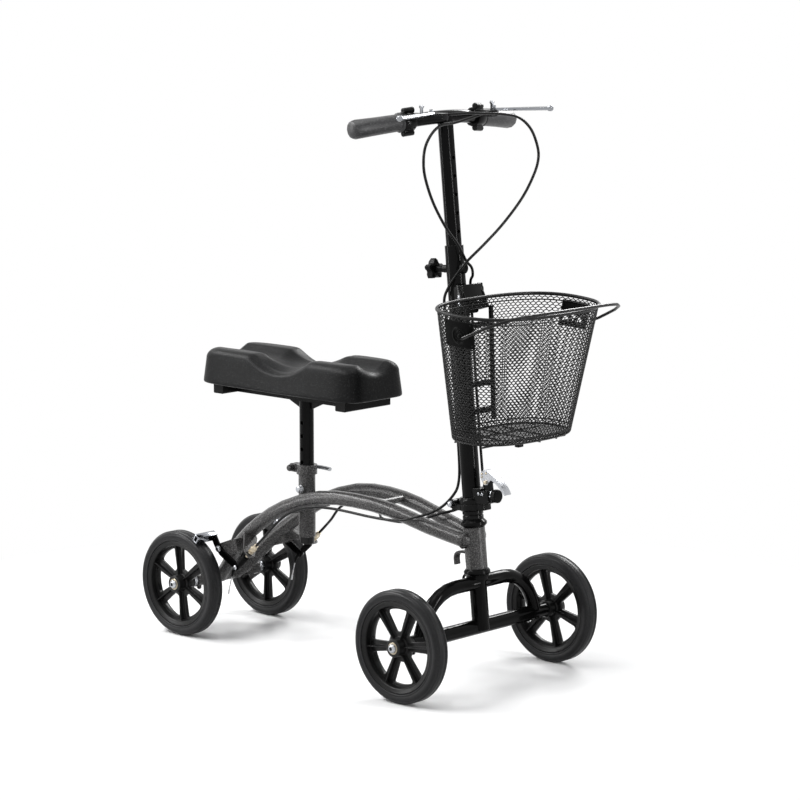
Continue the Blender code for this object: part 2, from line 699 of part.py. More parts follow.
cutters.append(helper("rear_axle_bores", bm))
bm = bmesh.new()
for s in (-1, 1):
    rod(bm, at(BRAKE_PIVOT[0], s * (BRAKE_Y - 0.024), BRAKE_PIVOT[1]),
        at(BRAKE_PIVOT[0], s * (BRAKE_Y + 0.010), BRAKE_PIVOT[1]), BRAKE_BOLT_RADIUS + GAP, 12)
cutters.append(helper("brake_pivot_bores", bm))
for word, s in SIDES:
    bm = bmesh.new()
    centre = at(STOP_POINT.x, BRAKE_Y * s, STOP_POINT.z)
    rod(bm, centre - PULL * 0.012, centre + PULL * 0.012, 0.0034, 12)
    cutters.append(helper(f"cable_stop_bore_{word}", bm))
combine(main_frame, cutters, "DIFFERENCE")

# headset
bm = bmesh.new()
cup_bore = STEERER_RADIUS + GAP
lower = [(cup_bore, 0), (CUP_RADIUS - 0.0030, 0), (CUP_RADIUS, 0.0025), (CUP_RADIUS, 0.0065),
         (CUP_RADIUS - 0.0025, LOWER_CUP_HEIGHT), (cup_bore, LOWER_CUP_HEIGHT)]
turned(bm, column(0, 0, HEAD_TUBE_FOOT - GAP - LOWER_CUP_HEIGHT), UP_COLUMN, lower, 16, closed=True)
piece("headset_cup_lower", bm, GLOSS_BLACK)

UPPER_CUP_FOOT = HEAD_TUBE_FOOT + HEAD_TUBE_LENGTH + GAP
upper = [(cup_bore, 0), (HEAD_TUBE_RADIUS, 0), (CUP_RADIUS, 0.0045), (CUP_RADIUS, 0.0090),
         (LOCKNUT_RADIUS, UPPER_CUP_HEIGHT), (cup_bore, UPPER_CUP_HEIGHT)]
bm = bmesh.new()
turned(bm, column(0, 0, UPPER_CUP_FOOT), UP_COLUMN, upper, 16, closed=True)
piece("headset_cup_upper", bm, GLOSS_BLACK)

# fork
CROWN_TOP = HEAD_TUBE_FOOT - LOWER_CUP_HEIGHT - 2 * GAP
LOCKNUT_FOOT = UPPER_CUP_FOOT + UPPER_CUP_HEIGHT + GAP
FOLD_BASE_FOOT = LOCKNUT_FOOT + LOCKNUT_HEIGHT + GAP
FOLD_PLANE = FOLD_BASE_FOOT + FOLD_BASE_HEIGHT + GAP / 2
STEER_PIVOT = column(0, 0, CROWN_TOP)


ARCH_HALF = FRONT_AXLE_HALF - ARCH_INSET


def arch_half(side):
    """The bent tube from the crown out and down to the axle tube."""
    points = [at(FRONT_AXLE_X, 0, ARCH_Z)]
    bend = min(ARCH_BEND, ARCH_Z - TYRE_RADIUS + AXLE_TUBE_RADIUS)
    centre_y, centre_z = ARCH_HALF - bend, ARCH_Z - bend
    for k in range(8):
        turn = math.pi / 2 * k / 7
        points.append(at(FRONT_AXLE_X, side * (centre_y + bend * math.sin(turn)),
                         centre_z + bend * math.cos(turn)))
    return points


bm = bmesh.new()
rod(bm, at(FRONT_AXLE_X, -FRONT_AXLE_HALF, TYRE_RADIUS), at(FRONT_AXLE_X, FRONT_AXLE_HALF, TYRE_RADIUS),
    AXLE_TUBE_RADIUS, 14)
fork = piece("fork", bm, GLOSS_BLACK, STEER_PIVOT)
bm = bmesh.new()
bar(bm, list(reversed(arch_half(-1))) + arch_half(1)[1:], FORK_TUBE_RADIUS, 12)
arch = helper("fork_arch", bm)
bm = bmesh.new()
rod(bm, column(0, 0, CROWN_TOP), column(0, 0, CROWN_TOP + 0.03), CUP_RADIUS + 0.0010, 20)
combine(arch, [helper("fork_cup_room", bm)], "DIFFERENCE")
bm = bmesh.new()
foot = (TYRE_RADIUS - 0.004 - STEER_Z) / math.cos(RAKE)
turned(bm, column(0, 0, 0), UP_COLUMN,
       [(0, foot), (CROWN_RADIUS, foot), (CROWN_RADIUS, CROWN_TOP - 0.012), (0.0195, CROWN_TOP - 0.006),
        (0.0195, CROWN_TOP), (STEERER_RADIUS, CROWN_TOP), (STEERER_RADIUS, FOLD_PLANE - 0.0010),
        (0, FOLD_PLANE - 0.0010)], 16)
steerer = helper("fork_steerer", bm)
# Small round hoop on the back of the crown, below the finger on the head tube.
bm = bmesh.new()
hoop = [(-0.0140, -0.0050), (-0.0280, -0.0028), (-0.0325, -0.0100), (-0.0280, -0.0175), (-0.0100, -0.0195)]
bar(bm, smooth([column(a, 0, CROWN_TOP + up) for a, up in hoop], 3), 0.0024, 6)
crown_hoop = helper("fork_hoop", bm)
bm = bmesh.new()
for s in (-1, 1):
    set_screw(bm, FRONT_AXLE_X, s * (FRONT_AXLE_HALF - 0.0060))
screws = helper("front_set_screws", bm)
combine(fork, [arch, steerer, crown_hoop, screws], "UNION")
bm = bmesh.new()
for s in (-1, 1):
    rod(bm, at(FRONT_AXLE_X, s * (FRONT_AXLE_HALF - 0.032), TYRE_RADIUS),
        at(FRONT_AXLE_X, s * (FRONT_AXLE_HALF + 0.010), TYRE_RADIUS), AXLE_BOLT_RADIUS + GAP, 12)
combine(fork, [helper("front_axle_bores", bm)], "DIFFERENCE")

bm = bmesh.new()
nut = [(cup_bore, 0), (LOCKNUT_RADIUS, 0), (LOCKNUT_RADIUS, 0.0055), (LOCKNUT_RADIUS - 0.0014, 0.0070),
       (LOCKNUT_RADIUS, 0.0085), (LOCKNUT_RADIUS, LOCKNUT_HEIGHT), (cup_bore, LOCKNUT_HEIGHT)]
turned(bm, column(0, 0, LOCKNUT_FOOT), UP_COLUMN, nut, 16, closed=True)
piece("headset_locknut", bm, SATIN_BLACK, STEER_PIVOT)

# folding joint
HINGE = column(-HINGE_BACK, 0, FOLD_PLANE)


def column_slab(bm, outline, foot, height):
    """Pushes an outline of (ahead, left) points up the column."""
    slab(bm, [column(u, v, foot) for u, v in outline], UP_COLUMN * height)


bm = bmesh.new()
turned(bm, column(0, 0, FOLD_BASE_FOOT), UP_COLUMN,
       [(0, 0), (FOLD_RING_RADIUS - 0.0015, 0), (FOLD_RING_RADIUS, 0.0015),
        (FOLD_RING_RADIUS, FOLD_BASE_HEIGHT), (0, FOLD_BASE_HEIGHT)], 16)
fold_base = piece("fold_base", bm, SATIN_BLACK, STEER_PIVOT)
extra = []
bm = bmesh.new()
column_slab(bm, [(-HINGE_BACK, -KNUCKLE_HALF), (-0.004, -KNUCKLE_HALF), (-0.004, KNUCKLE_HALF),
                 (-HINGE_BACK, KNUCKLE_HALF)], FOLD_BASE_FOOT + 0.0015, FOLD_BASE_HEIGHT - 0.0015)
extra.append(helper("fold_base_lug", bm))
bm = bmesh.new()
rod(bm, HINGE - LEFT * KNUCKLE_HALF, HINGE + LEFT * KNUCKLE_HALF, KNUCKLE_RADIUS, 12)
extra.append(helper("fold_base_knuckle", bm))
bm = bmesh.new()
column_slab(bm, rounded([(0.006, -0.0105), (NOSE_FORWARD, -0.0105), (NOSE_FORWARD, 0.0105),
                         (0.006, 0.0105)], 0.003, 2), FOLD_BASE_FOOT + 0.0010, FOLD_BASE_HEIGHT - 0.0010)
extra.append(helper("fold_base_nose", bm))
combine(fold_base, extra, "UNION")
slots = []
bm = bmesh.new()
rod(bm, column(0, 0, FOLD_BASE_FOOT - 0.01), column(0, 0, FOLD_PLANE + 0.01), STEERER_RADIUS + GAP, 16)
slots.append(helper("fold_base_bore", bm))
bm = bmesh.new()
column_slab(bm, [(-HINGE_BACK - 0.012, -0.0085), (-HINGE_BACK + KNUCKLE_RADIUS + 0.0008, -0.0085),
                 (-HINGE_BACK + KNUCKLE_RADIUS + 0.0008, 0.0085), (-HINGE_BACK - 0.012, 0.0085)],
            FOLD_BASE_FOOT - 0.004, FOLD_BASE_HEIGHT + 0.020)
slots.append(helper("fold_base_slot", bm))
bm = bmesh.new()
rod(bm, HINGE - LEFT * 0.03, HINGE + LEFT * 0.03, HINGE_PIN_RADIUS + GAP, 8)
slots.append(helper("fold_base_pin_bore", bm))
bm = bmesh.new()
column_slab(bm, [(-HINGE_BACK + KNUCKLE_RADIUS, -0.03), (NOSE_FORWARD + 0.02, -0.03), (NOSE_FORWARD + 0.02, 0.03),
                 (-HINGE_BACK + KNUCKLE_RADIUS, 0.03)], FOLD_PLANE - GAP / 2, 0.02)
slots.append(helper("fold_base_flat", bm))
combine(fold_base, slots, "DIFFERENCE")

bm = bmesh.new()
HEAD_FOOT = FOLD_PLANE + GAP / 2
turned(bm, column(0, 0, HEAD_FOOT), UP_COLUMN,
       [(0, 0), (FOLD_RING_RADIUS, 0), (FOLD_RING_RADIUS, 0.0055), (0.0205, 0.0080),
        (0.0200, FOLD_HEAD_HEIGHT), (0, FOLD_HEAD_HEIGHT)], 16)
fold_head = piece("fold_head", bm, SATIN_BLACK, HINGE)
extra = []
bm = bmesh.new()
column_slab(bm, [(-HINGE_BACK, -0.0080), (-0.004, -0.0080), (-0.004, 0.0080), (-HINGE_BACK, 0.0080)],
            HEAD_FOOT, 0.0072)
extra.append(helper("fold_head_lug", bm))
bm = bmesh.new()
rod(bm, HINGE - LEFT * 0.0080, HINGE + LEFT * 0.0080, KNUCKLE_RADIUS, 12)
extra.append(helper("fold_head_knuckle", bm))
bm = bmesh.new()
casting = rounded([(0.0080, 0), (BOSS_FORWARD, 0), (BOSS_FORWARD, BOSS_TOP), (0.0310, BOSS_TOP),
                   (0.0300, BOSS_STEP), (0.0080, BOSS_STEP)], [0, 0.002, 0.003, 0, 0.002, 0], [1, 1, 2, 1, 2, 1])
slab(bm, [column(a, -BOSS_HALF, HEAD_FOOT + up) for a, up in casting], LEFT * 2 * BOSS_HALF)
extra.append(helper("fold_head_casting", bm))
bm = bmesh.new()
lug = rounded([(LATCH_AHEAD - 0.0065, BOSS_TOP - 0.004), (BOSS_FORWARD, BOSS_TOP - 0.004),
               (LATCH_AHEAD + 0.0045, LATCH_RISE + 0.0050), (LATCH_AHEAD - 0.0050, LATCH_RISE + 0.0050)],
              [0, 0, 0.003, 0.003], [1, 1, 2, 2])
slab(bm, [column(a, -LUG_HALF, HEAD_FOOT + up) for a, up in lug], LEFT * 2 * LUG_HALF)
extra.append(helper("fold_head_lug_top", bm))
combine(fold_head, extra, "UNION")
LATCH_PIVOT = column(LATCH_AHEAD, 0, HEAD_FOOT + LATCH_RISE)
cuts = []
bm = bmesh.new()
rod(bm, HINGE - LEFT * 0.03, HINGE + LEFT * 0.03, HINGE_PIN_RADIUS + GAP, 8)
cuts.append(helper("fold_head_pin_bore", bm))
bm = bmesh.new()
rod(bm, LATCH_PIVOT - LEFT * 0.03, LATCH_PIVOT + LEFT * 0.03, LATCH_PIN_RADIUS + GAP, 8)
cuts.append(helper("fold_head_latch_bore", bm))
bm = bmesh.new()
rod(bm, column(0, 0, HEAD_FOOT + FOLD_HEAD_HEIGHT), column(0, 0, HEAD_FOOT + BOSS_STEP + 0.01),
    COLUMN_RADIUS + GAP, 20)
cuts.append(helper("fold_head_column_seat", bm))
combine(fold_head, cuts, "DIFFERENCE")

bm = bmesh.new()
pin_end = KNUCKLE_HALF + GAP
turned(bm, HINGE, LEFT,
       [(0, -pin_end - 0.0050), (0.0048, -pin_end - 0.0045), (0.0055, -pin_end - 0.0020), (0.0055, -pin_end),
        (HINGE_PIN_RADIUS, -pin_end), (HINGE_PIN_RADIUS, pin_end), (0.0055, pin_end), (0.0055, pin_end + 0.0040),
        (0, pin_end + 0.0045)], 8)
piece("fold_pin", bm, ZINC, STEER_PIVOT)

# Adjusting bolt with its black knob on the front of the casting.
bm = bmesh.new()
turned(bm, column(BOSS_FORWARD + GAP, 0, HEAD_FOOT + 0.0125), AHEAD,
       [(0, 0), (0.0072, 0), (0.0072, 0.0030), (0.0105, 0.0036), (0.0115, 0.0055), (0.0115, 0.0125),
        (0.0098, 0.0142), (0, 0.0145)], 14)
piece("latch_nut", bm, SATIN_BLACK, HINGE)

# column
COLUMN_FOOT = HEAD_FOOT + FOLD_HEAD_HEIGHT + GAP
bm = bmesh.new()
length = COLUMN_TOP - COLUMN_FOOT
bore = INNER_RADIUS + GAP
turned(bm, column(0, 0, COLUMN_FOOT), UP_COLUMN,
       [(bore, 0), (COLUMN_RADIUS, 0), (COLUMN_RADIUS, length - 0.0008), (COLUMN_RADIUS - 0.0008, length),
        (bore, length)], 20, closed=True)
column_tube = piece("column_tube", bm, GLOSS_BLACK, HINGE)
bm = bmesh.new()
rod(bm, column(-COLUMN_RADIUS - 0.0090, 0, KNOB_S), column(-bore - 0.0010, 0, KNOB_S), 0.0070, 10)
combine(column_tube, [helper("knob_boss", bm)], "UNION")
bm = bmesh.new()
rod(bm, column(-0.05, 0, KNOB_S), column(0, 0, KNOB_S), 0.0040, 8)
combine(column_tube, [helper("knob_bore", bm)], "DIFFERENCE")

bm = bmesh.new()
turned(bm, column(COLUMN_RADIUS + GAP, 0, KNOB_S), AHEAD,
       [(0, 0), (0.0094, 0), (0.0094, 0.0038), (0.0078, 0.0054), (0, 0.0058)], 14)
piece("column_cap", bm, SATIN_BLACK, HINGE)

# Height knob: five lobes on a screw.
bm = bmesh.new()
lobes = []
for k in range(25):
    turn = 2 * math.pi * k / 25
    size = 0.0150 + 0.0034 * math.cos(5 * turn)
    lobes.append((size * math.cos(turn), size * math.sin(turn)))
knob_back = COLUMN_RADIUS + 0.0250
rings = []
for depth, scale in ((0, 0.80), (0.0022, 1.0), (0.0130, 1.0), (0.0160, 0.84)):
    rings.append([column(-knob_back - depth, v * scale, KNOB_S + u * scale) for u, v in lobes])
loft(bm, rings)
height_knob = piece("height_knob", bm, SATIN_BLACK, column(0, 0, KNOB_S))
bm = bmesh.new()
turned(bm, column(0, 0, KNOB_S), -AHEAD,
       [(0, INNER_RADIUS + 0.0008), (0.0034, INNER_RADIUS + 0.0008), (0.0034, COLUMN_RADIUS + 0.0094),
        (0.0060, COLUMN_RADIUS + 0.0100), (0.0070, knob_back + 0.0010), (0, knob_back + 0.0010)], 10)
combine(height_knob, [helper("height_knob_screw", bm)], "UNION")

# Basket carrier: a plate with an upright T-rail on the front of the column.
CARRIER_FOOT = 0.5270
CARRIER_HEIGHT = 0.0480
CARRIER_HALF = 0.0260
CARRIER_THICKNESS = 0.0060
CARRIER_BACK = COLUMN_RADIUS + GAP
CARRIER_FRONT = CARRIER_BACK + CARRIER_THICKNESS
RAIL_STEM = (0.0070, 0.0040)    # half-width and depth of the rail's stem
RAIL_HEAD = (0.0120, 0.0035)    # half-width and depth of its head
bm = bmesh.new()
outline = rounded([(-CARRIER_HALF, 0), (CARRIER_HALF, 0), (CARRIER_HALF, CARRIER_HEIGHT),
                   (-CARRIER_HALF, CARRIER_HEIGHT)], 0.005, 2)
slab(bm, [column(CARRIER_BACK, u, CARRIER_FOOT + v) for u, v in outline], AHEAD * CARRIER_THICKNESS)
basket_carrier = piece("basket_carrier", bm, SATIN_BLACK, HINGE)


def rail_outline(room):
    """Plan of the T-rail, or of the channel that slides over it when there is room."""
    stem, head = RAIL_STEM[0] + room, RAIL_HEAD[0] + room
    step = CARRIER_FRONT + RAIL_STEM[1] - room
    front = CARRIER_FRONT + RAIL_STEM[1] + RAIL_HEAD[1] + room
    back = CARRIER_FRONT - 0.0010
    return [(back, -stem), (step, -stem), (step, -head), (front, -head), (front, head), (step, head),
            (step, stem), (back, stem)]


bm = bmesh.new()
column_slab(bm, rail_outline(0), CARRIER_FOOT + 0.0030, CARRIER_HEIGHT - 0.0060)
combine(basket_carrier, [helper("carrier_rail", bm)], "UNION")

# Silver latch lever: a channel whose cheeks turn on a pin through the casting's lug.
bm = bmesh.new()
cheek_in = LUG_HALF + 2 * GAP
cheek_out = cheek_in + LATCH_CHEEK
head = cheek_out + GAP
turned(bm, LATCH_PIVOT, LEFT,
       [(0, -head - 0.0024), (0.0036, -head - 0.0020), (0.0036, -head), (LATCH_PIN_RADIUS, -head),
        (LATCH_PIN_RADIUS, head), (0.0036, head), (0.0036, head + 0.0020), (0, head + 0.0024)], 8)
piece("latch_pin", bm, BRASS, HINGE)

bm = bmesh.new()
lever_line = [(-0.0040, 0.0192), (0.0050, 0.0180), (0.0143, 0.0112), (0.0261, 0.0002), (0.0356, -0.0111),
              (0.0404, -0.0212)]
path = smooth([LATCH_PIVOT + AHEAD * a + UP_COLUMN * up for a, up in lever_line], 2)
rings = []
for i, p in enumerate(path):
    ahead = (path[min(i + 1, len(path) - 1)] - path[max(i - 1, 0)]).normalized()
    thick = ahead.cross(LEFT).normalized() * LATCH_THICK / 2
    wide = LEFT * LATCH_HALF
    rings.append([p + thick + wide, p - thick + wide, p - thick - wide, p + thick - wide])
loft(bm, rings)
latch_lever = piece("latch_lever", bm, ZINC, LATCH_PIVOT)
cheek_line = [(-0.0100, 0.0165), (-0.0040, 0.0192), (0.0050, 0.0180), (0.0143, 0.0112), (0.0261, 0.0002),
              (0.0356, -0.0111), (0.0400, -0.0200), (0.0370, -0.0196), (0.0320, -0.0125), (0.0225, -0.0030),
              (0.0120, 0.0040), (0.0060, -0.0005), (0.0030, -0.0045), (-0.0040, -0.0045), (-0.0075, 0.0000),
              (-0.0110, 0.0080)]
cheeks = []
for word, s in SIDES:
    bm = bmesh.new()
    slab(bm, [LATCH_PIVOT + LEFT * s * cheek_in + AHEAD * a + UP_COLUMN * up for a, up in cheek_line],
         LEFT * s * LATCH_CHEEK)
    cheeks.append(helper(f"latch_cheek_{word}", bm))
combine(latch_lever, cheeks, "UNION")
bm = bmesh.new()
rod(bm, LATCH_PIVOT - LEFT * 0.02, LATCH_PIVOT + LEFT * 0.02, LATCH_PIN_RADIUS + GAP, 8)
combine(latch_lever, [helper("latch_lever_bore", bm)], "DIFFERENCE")

# handlebar
def bar_point(y):
    """The straight outer part of the bar's centre line."""
    run = abs(y) - CLAMP_Y
    return fore(-CLAMP_BACK - run * BAR_SWEEP, y, CLAMP_Z - run * BAR_DROP)


BAR_MEET = fore(CLAMP_Y * BAR_SWEEP - CLAMP_BACK, 0, CLAMP_Z + CLAMP_Y * BAR_DROP)
bend = []
for k in range(9):
    t = k / 8
    bend.append(bar_point(-BAR_BEND_Y) * (1 - t) ** 2 + BAR_MEET * 2 * t * (1 - t) + bar_point(BAR_BEND_Y) * t * t)
BAR_PATH = [bar_point(-BAR_HALF)] + bend + [bar_point(BAR_HALF)]
BAR_CENTRE = bend[4]

bm = bmesh.new()
top = (BAR_CENTRE - column(0, 0, 0)).dot(UP_COLUMN)
rod(bm, column(0, 0, INNER_BOTTOM), column(0, 0, top), INNER_RADIUS, 20)
handlebar = piece("handlebar", bm, GLOSS_BLACK, column(0, 0, COLUMN_TOP))
bm = bmesh.new()
bar(bm, BAR_PATH, BAR_RADIUS, 12)
combine(handlebar, [helper("crossbar", bm)], "UNION")
bm = bmesh.new()
for k in range(-2, 7):
    height = KNOB_S + k * COLUMN_HOLE_PITCH
    if INNER_BOTTOM + 0.01 < height < top - 0.05:
        rod(bm, column(-0.03, 0, height), column(0.03, 0, height), COLUMN_HOLE_RADIUS, 6)
combine(handlebar, [helper("inner_tube_holes", bm)], "DIFFERENCE")

for word, s in SIDES:
    grip_start = CLAMP_Y + PERCH_WIDTH / 2 + GAP
    start, end = bar_point(s * grip_start), bar_point(s * GRIP_END_Y)
    length = (end - start).length
    bore = BAR_RADIUS + GAP
    depth = length - GRIP_CAP
    bm = bmesh.new()
    turned(bm, start, end - start,
           [(bore, 0), (GRIP_RADIUS + 0.0022, 0), (GRIP_RADIUS + 0.0024, 0.0030), (GRIP_RADIUS, 0.0055),
            (GRIP_RADIUS + 0.0006, length * 0.5), (GRIP_END_RADIUS, length - 0.0090),
            (GRIP_END_RADIUS - 0.0020, length - 0.0030), (GRIP_END_RADIUS - 0.0070, length), (0, length),
            (0, depth), (bore, depth)], 12, closed=True)
    piece(f"grip_{word}", bm, RUBBER, column(0, 0, COLUMN_TOP))

    # Brake lever perch: a two-bolt clamp with an arm that reaches the lever's pivot.
    pivot = fore(LEVER_PIVOT[0], s * LEVER_PIVOT[1], LEVER_PIVOT[2])
    clamp = bar_point(s * CLAMP_Y)
    axis = (bar_point(s * BAR_HALF) - bar_point(s * BAR_BEND_Y)).normalized()
    side, other = frame_for(axis)
    bm = bmesh.new()
    turned(bm, clamp - axis * PERCH_WIDTH / 2, axis,
           [(BAR_RADIUS + GAP, 0), (0.0158, 0), (0.0168, 0.0020), (0.0168, PERCH_WIDTH - 0.0020),
            (0.0158, PERCH_WIDTH), (BAR_RADIUS + GAP, PERCH_WIDTH)], 12, closed=True)
    perch = piece(f"lever_perch_{word}", bm, SATIN_BLACK, column(0, 0, COLUMN_TOP))
    more = []
    for lift in (1, -1):
        bm = bmesh.new()
        middle = clamp + UP * lift * 0.0185 + Vector((0.004, 0, 0))
        rod(bm, middle - axis * 0.0105, middle + axis * 0.0105, 0.0052, 8)
        more.append(helper(f"perch_lump_{word}_{'top' if lift > 0 else 'low'}", bm))
    arm = rounded([(0.0105, -0.0110), (0.0560, -0.0360), (0.0640, -0.0340), (0.0640, -0.0180),
                   (0.0500, -0.0020), (0.0460, 0.0060), (0.0105, 0.0110)], 0.003, 2)
    bm = bmesh.new()
    slab(bm, [clamp + Vector((a, left * s, 0.0045)) for a, left in arm], UP * 0.0105)
    more.append(helper(f"perch_arm_{word}", bm))
    combine(perch, more, "UNION")
    holes = []
    bm = bmesh.new()
    rod(bm, clamp - axis * 0.03, clamp + axis * 0.03, BAR_RADIUS + GAP, 12)
    holes.append(helper(f"perch_bar_bore_{word}", bm))
    # Slot for the lever's head, open to the front and to the outer side.
    bm = bmesh.new()
    slot = [(-0.0125, -0.0100), (0.0300, -0.0100), (0.0300, 0.0300), (-0.0125, 0.0300)]
    slab(bm, [pivot + Vector((a, left * s, -0.0031)) for a, left in slot], UP * 0.0062)
    holes.append(helper(f"perch_slot_{word}", bm))
    bm = bmesh.new()
    rod(bm, pivot - UP * 0.02, pivot + UP * 0.02, 0.0028, 8)
    holes.append(helper(f"perch_pivot_bore_{word}", bm))
    bm = bmesh.new()
    lock = fore(PLUNGER[0], s * PLUNGER[1], PLUNGER[2])
    rod(bm, lock - UP * 0.030, lock + UP * 0.004, 0.0030, 8)
    holes.append(helper(f"perch_lock_bore_{word}", bm))
    combine(perch, holes, "DIFFERENCE")

    # Lever blade, hinged on an upright pin.
    tip = fore(LEVER_TIP[0], s * LEVER_TIP[1], LEVER_TIP[2])
    run = tip - pivot
    bow = Vector((0.0040, 0, 0))
    line = smooth([pivot, pivot + run * 0.25 + bow, pivot + run * 0.6 + bow * 0.4, tip], 2)
    bm = bmesh.new()
    rings = []
    for i, p in enumerate(line):
        ahead = (line[min(i + 1, len(line) - 1)] - line[max(i - 1, 0)]).normalized()
        across = ahead.cross(UP).normalized()
        share = i / (len(line) - 1)
        deep = 0.0065 - 0.0020 * math.sin(math.pi * min(1, share * 1.3))
        tall = 0.0026 + 0.0010 * share
        rings.append([p + across * deep * math.cos(a) + UP * tall * math.sin(a)
                      for a in [2 * math.pi * k / 8 for k in range(8)]])
    loft(bm, rings)
    lever = piece(f"brake_lever_{word}", bm, CHROME, pivot)
    bm = bmesh.new()
    turned(bm, tip, run, [(0, -0.006), (0.0046, -0.004), (0.0052, 0), (0.0042, 0.0035), (0, 0.0052)], 10)
    pinned = [helper(f"lever_ball_{word}", bm)]
    bm = bmesh.new()
    rod(bm, pivot - UP * 0.0060, pivot + UP * 0.0068, 0.0025, 8)
    pinned.append(helper(f"lever_pin_{word}", bm))
    combine(lever, pinned, "UNION")

    # Parking lock plunger.
    bm = bmesh.new()
    turned(bm, lock, UP,
           [(0, -0.0200), (0.0027, -0.0200), (0.0027, -0.0060), (0.0040, -0.0040), (0.0042, -0.0010),
            (0.0030, 0), (0, 0)], 8)
    piece(f"parking_lock_{word}", bm, ZINC, lock)

# seat
bm = bmesh.new()
post_foot = POST_BOTTOM + POST_PLUG_HEIGHT + GAP
rod(bm, at(SEAT_X, 0, post_foot), at(SEAT_X, 0, RAIL_TOP - RAIL_HEIGHT - GAP), POST_RADIUS, 20)
seat_post = piece("seat_post", bm, GLOSS_BLACK, at(SEAT_X, 0, SOCKET_TOP))
bm = bmesh.new()
for k in range(-3, 7):
    height = SEAT_PIN_Z + k * SEAT_HOLE_PITCH
    if post_foot + 0.01 < height < RAIL_TOP - RAIL_HEIGHT - 0.03:
        rod(bm, at(SEAT_X, -0.03, height), at(SEAT_X, 0.03, height), SEAT_HOLE_RADIUS, 6)
combine(seat_post, [helper("seat_post_holes", bm)], "DIFFERENCE")

bm = bmesh.new()
turned(bm, at(SEAT_X, 0, POST_BOTTOM), UP,
       [(0, 0), (POST_RADIUS - 0.0012, 0), (POST_RADIUS, 0.0012), (POST_RADIUS, POST_PLUG_HEIGHT),
        (0, POST_PLUG_HEIGHT)], 16)
piece("post_plug", bm, NYLON, at(SEAT_X, 0, SOCKET_TOP))

RAIL_BOTTOM = RAIL_TOP - RAIL_HEIGHT
bm = bmesh.new()
block(bm, at(REAR_RAIL_X, -SPINE_HALF, RAIL_BOTTOM), at(FRONT_RAIL_X, SPINE_HALF, RAIL_BOTTOM + SPINE_HEIGHT))
seat_frame = piece("seat_frame", bm, SATIN_BLACK, at(SEAT_X, 0, SOCKET_TOP))
more = []
for word, x in (("front", FRONT_RAIL_X), ("rear", REAR_RAIL_X)):
    bm = bmesh.new()
    section = rounded([(-RAIL_WIDTH / 2, RAIL_BOTTOM), (RAIL_WIDTH / 2, RAIL_BOTTOM), (RAIL_WIDTH / 2, RAIL_TOP),
                       (-RAIL_WIDTH / 2, RAIL_TOP)], 0.0015, 1)
    slab(bm, [at(x + u, -RAIL_HALF, v) for u, v in section], LEFT * 2 * RAIL_HALF)
    more.append(helper(f"seat_rail_{word}", bm))
for s in (-1, 1):
    bm = bmesh.new()
    gusset = [(POST_RADIUS + 0.0006, RAIL_BOTTOM + 0.004), (POST_RADIUS + 0.0320, RAIL_BOTTOM + 0.004),
              (POST_RADIUS + 0.0320, RAIL_BOTTOM - 0.002), (POST_RADIUS + 0.0006, RAIL_BOTTOM - 0.016)]
    slab(bm, [at(SEAT_X + u * s, -0.0020, v) for u, v in gusset], LEFT * 0.0040)
    more.append(helper(f"seat_gusset_{'front' if s > 0 else 'rear'}", bm))
combine(seat_frame, more, "UNION")


def cushion_shape():
    """The one-piece cushion: four lobes with a lengthwise channel and a dip across the middle."""
    length, half = CUSHION_FRONT - CUSHION_REAR, CUSHION_HALF
    middle = (CUSHION_FRONT + CUSHION_REAR) / 2
    columns, rows = 20, 10
    base = RAIL_TOP + GAP

    def edge(u, v, shrink):
        """A rounded rectangle read as a map of the square (u, v) in -1 to 1."""
        exponent = 7
        big = max(abs(u), abs(v))
        if big < 0.001:
            return 0.0, 0.0
        bend = (abs(u / big) ** exponent + abs(v / big) ** exponent) ** (-1 / exponent)
        grow = 1 + (bend - 1) * big ** 3
        return u * grow * (length / 2 - shrink), v * grow * (half - shrink)

    def top(u, v):
        lobe = 0.5 + 0.5 * math.cos(math.pi * min(1, abs(abs(u) - 0.60) / 0.60))
        across = math.exp(-((abs(u)) / 0.30) ** 2)
        channel = math.exp(-(v / 0.40) ** 2)
        fall = max(0, abs(v) - 0.30) / 0.70
        height = CUSHION_HEIGHT - 0.0045 - 0.0130 * channel * (1 - 0.35 * across)
        height -= 0.0270 * across * (0.45 + 0.55 * fall)
        height += 0.0045 * lobe * (1 - channel)
        return height

    bm = bmesh.new()
    sheet = []
    for i in range(columns + 1):
        row = []
        for j in range(rows + 1):
            u, v = 2 * i / columns - 1, 2 * j / rows - 1
            x, y = edge(u, v, 0.0085)
            row.append(bm.verts.new(at(middle + x, y, base + top(u, v))))
        sheet.append(row)
    for i in range(columns):
        for j in range(rows):
            bm.faces.new((sheet[i][j], sheet[i + 1][j], sheet[i + 1][j + 1], sheet[i][j + 1]))
    border = [(i, 0) for i in range(columns)] + [(columns, j) for j in range(rows)]
    border += [(i, rows) for i in range(columns, 0, -1)] + [(0, j) for j in range(rows, 0, -1)]
    ring = [sheet[i][j] for i, j in border]
    for shrink, share in ((0.0030, 0.93), (0.0022, 0.70), (0.0, 0.22), (0.0022, 0.05), (0.0060, 0.0)):
        lower = []
        for i, j in border:
            u, v = 2 * i / columns - 1, 2 * j / rows - 1
            x, y = edge(u, v, shrink)
            lower.append(bm.verts.new(at(middle + x, y, base + top(u, v) * share)))
        for k in range(len(ring)):
            n = (k + 1) % len(ring)
            bm.faces.new((ring[k], lower[k], lower[n], ring[n]))
        ring = lower
    bm.faces.new(ring)
    return bm


piece("cushion", cushion_shape(), FOAM_SKIN, at(SEAT_X, 0, SOCKET_TOP), sharp=60)

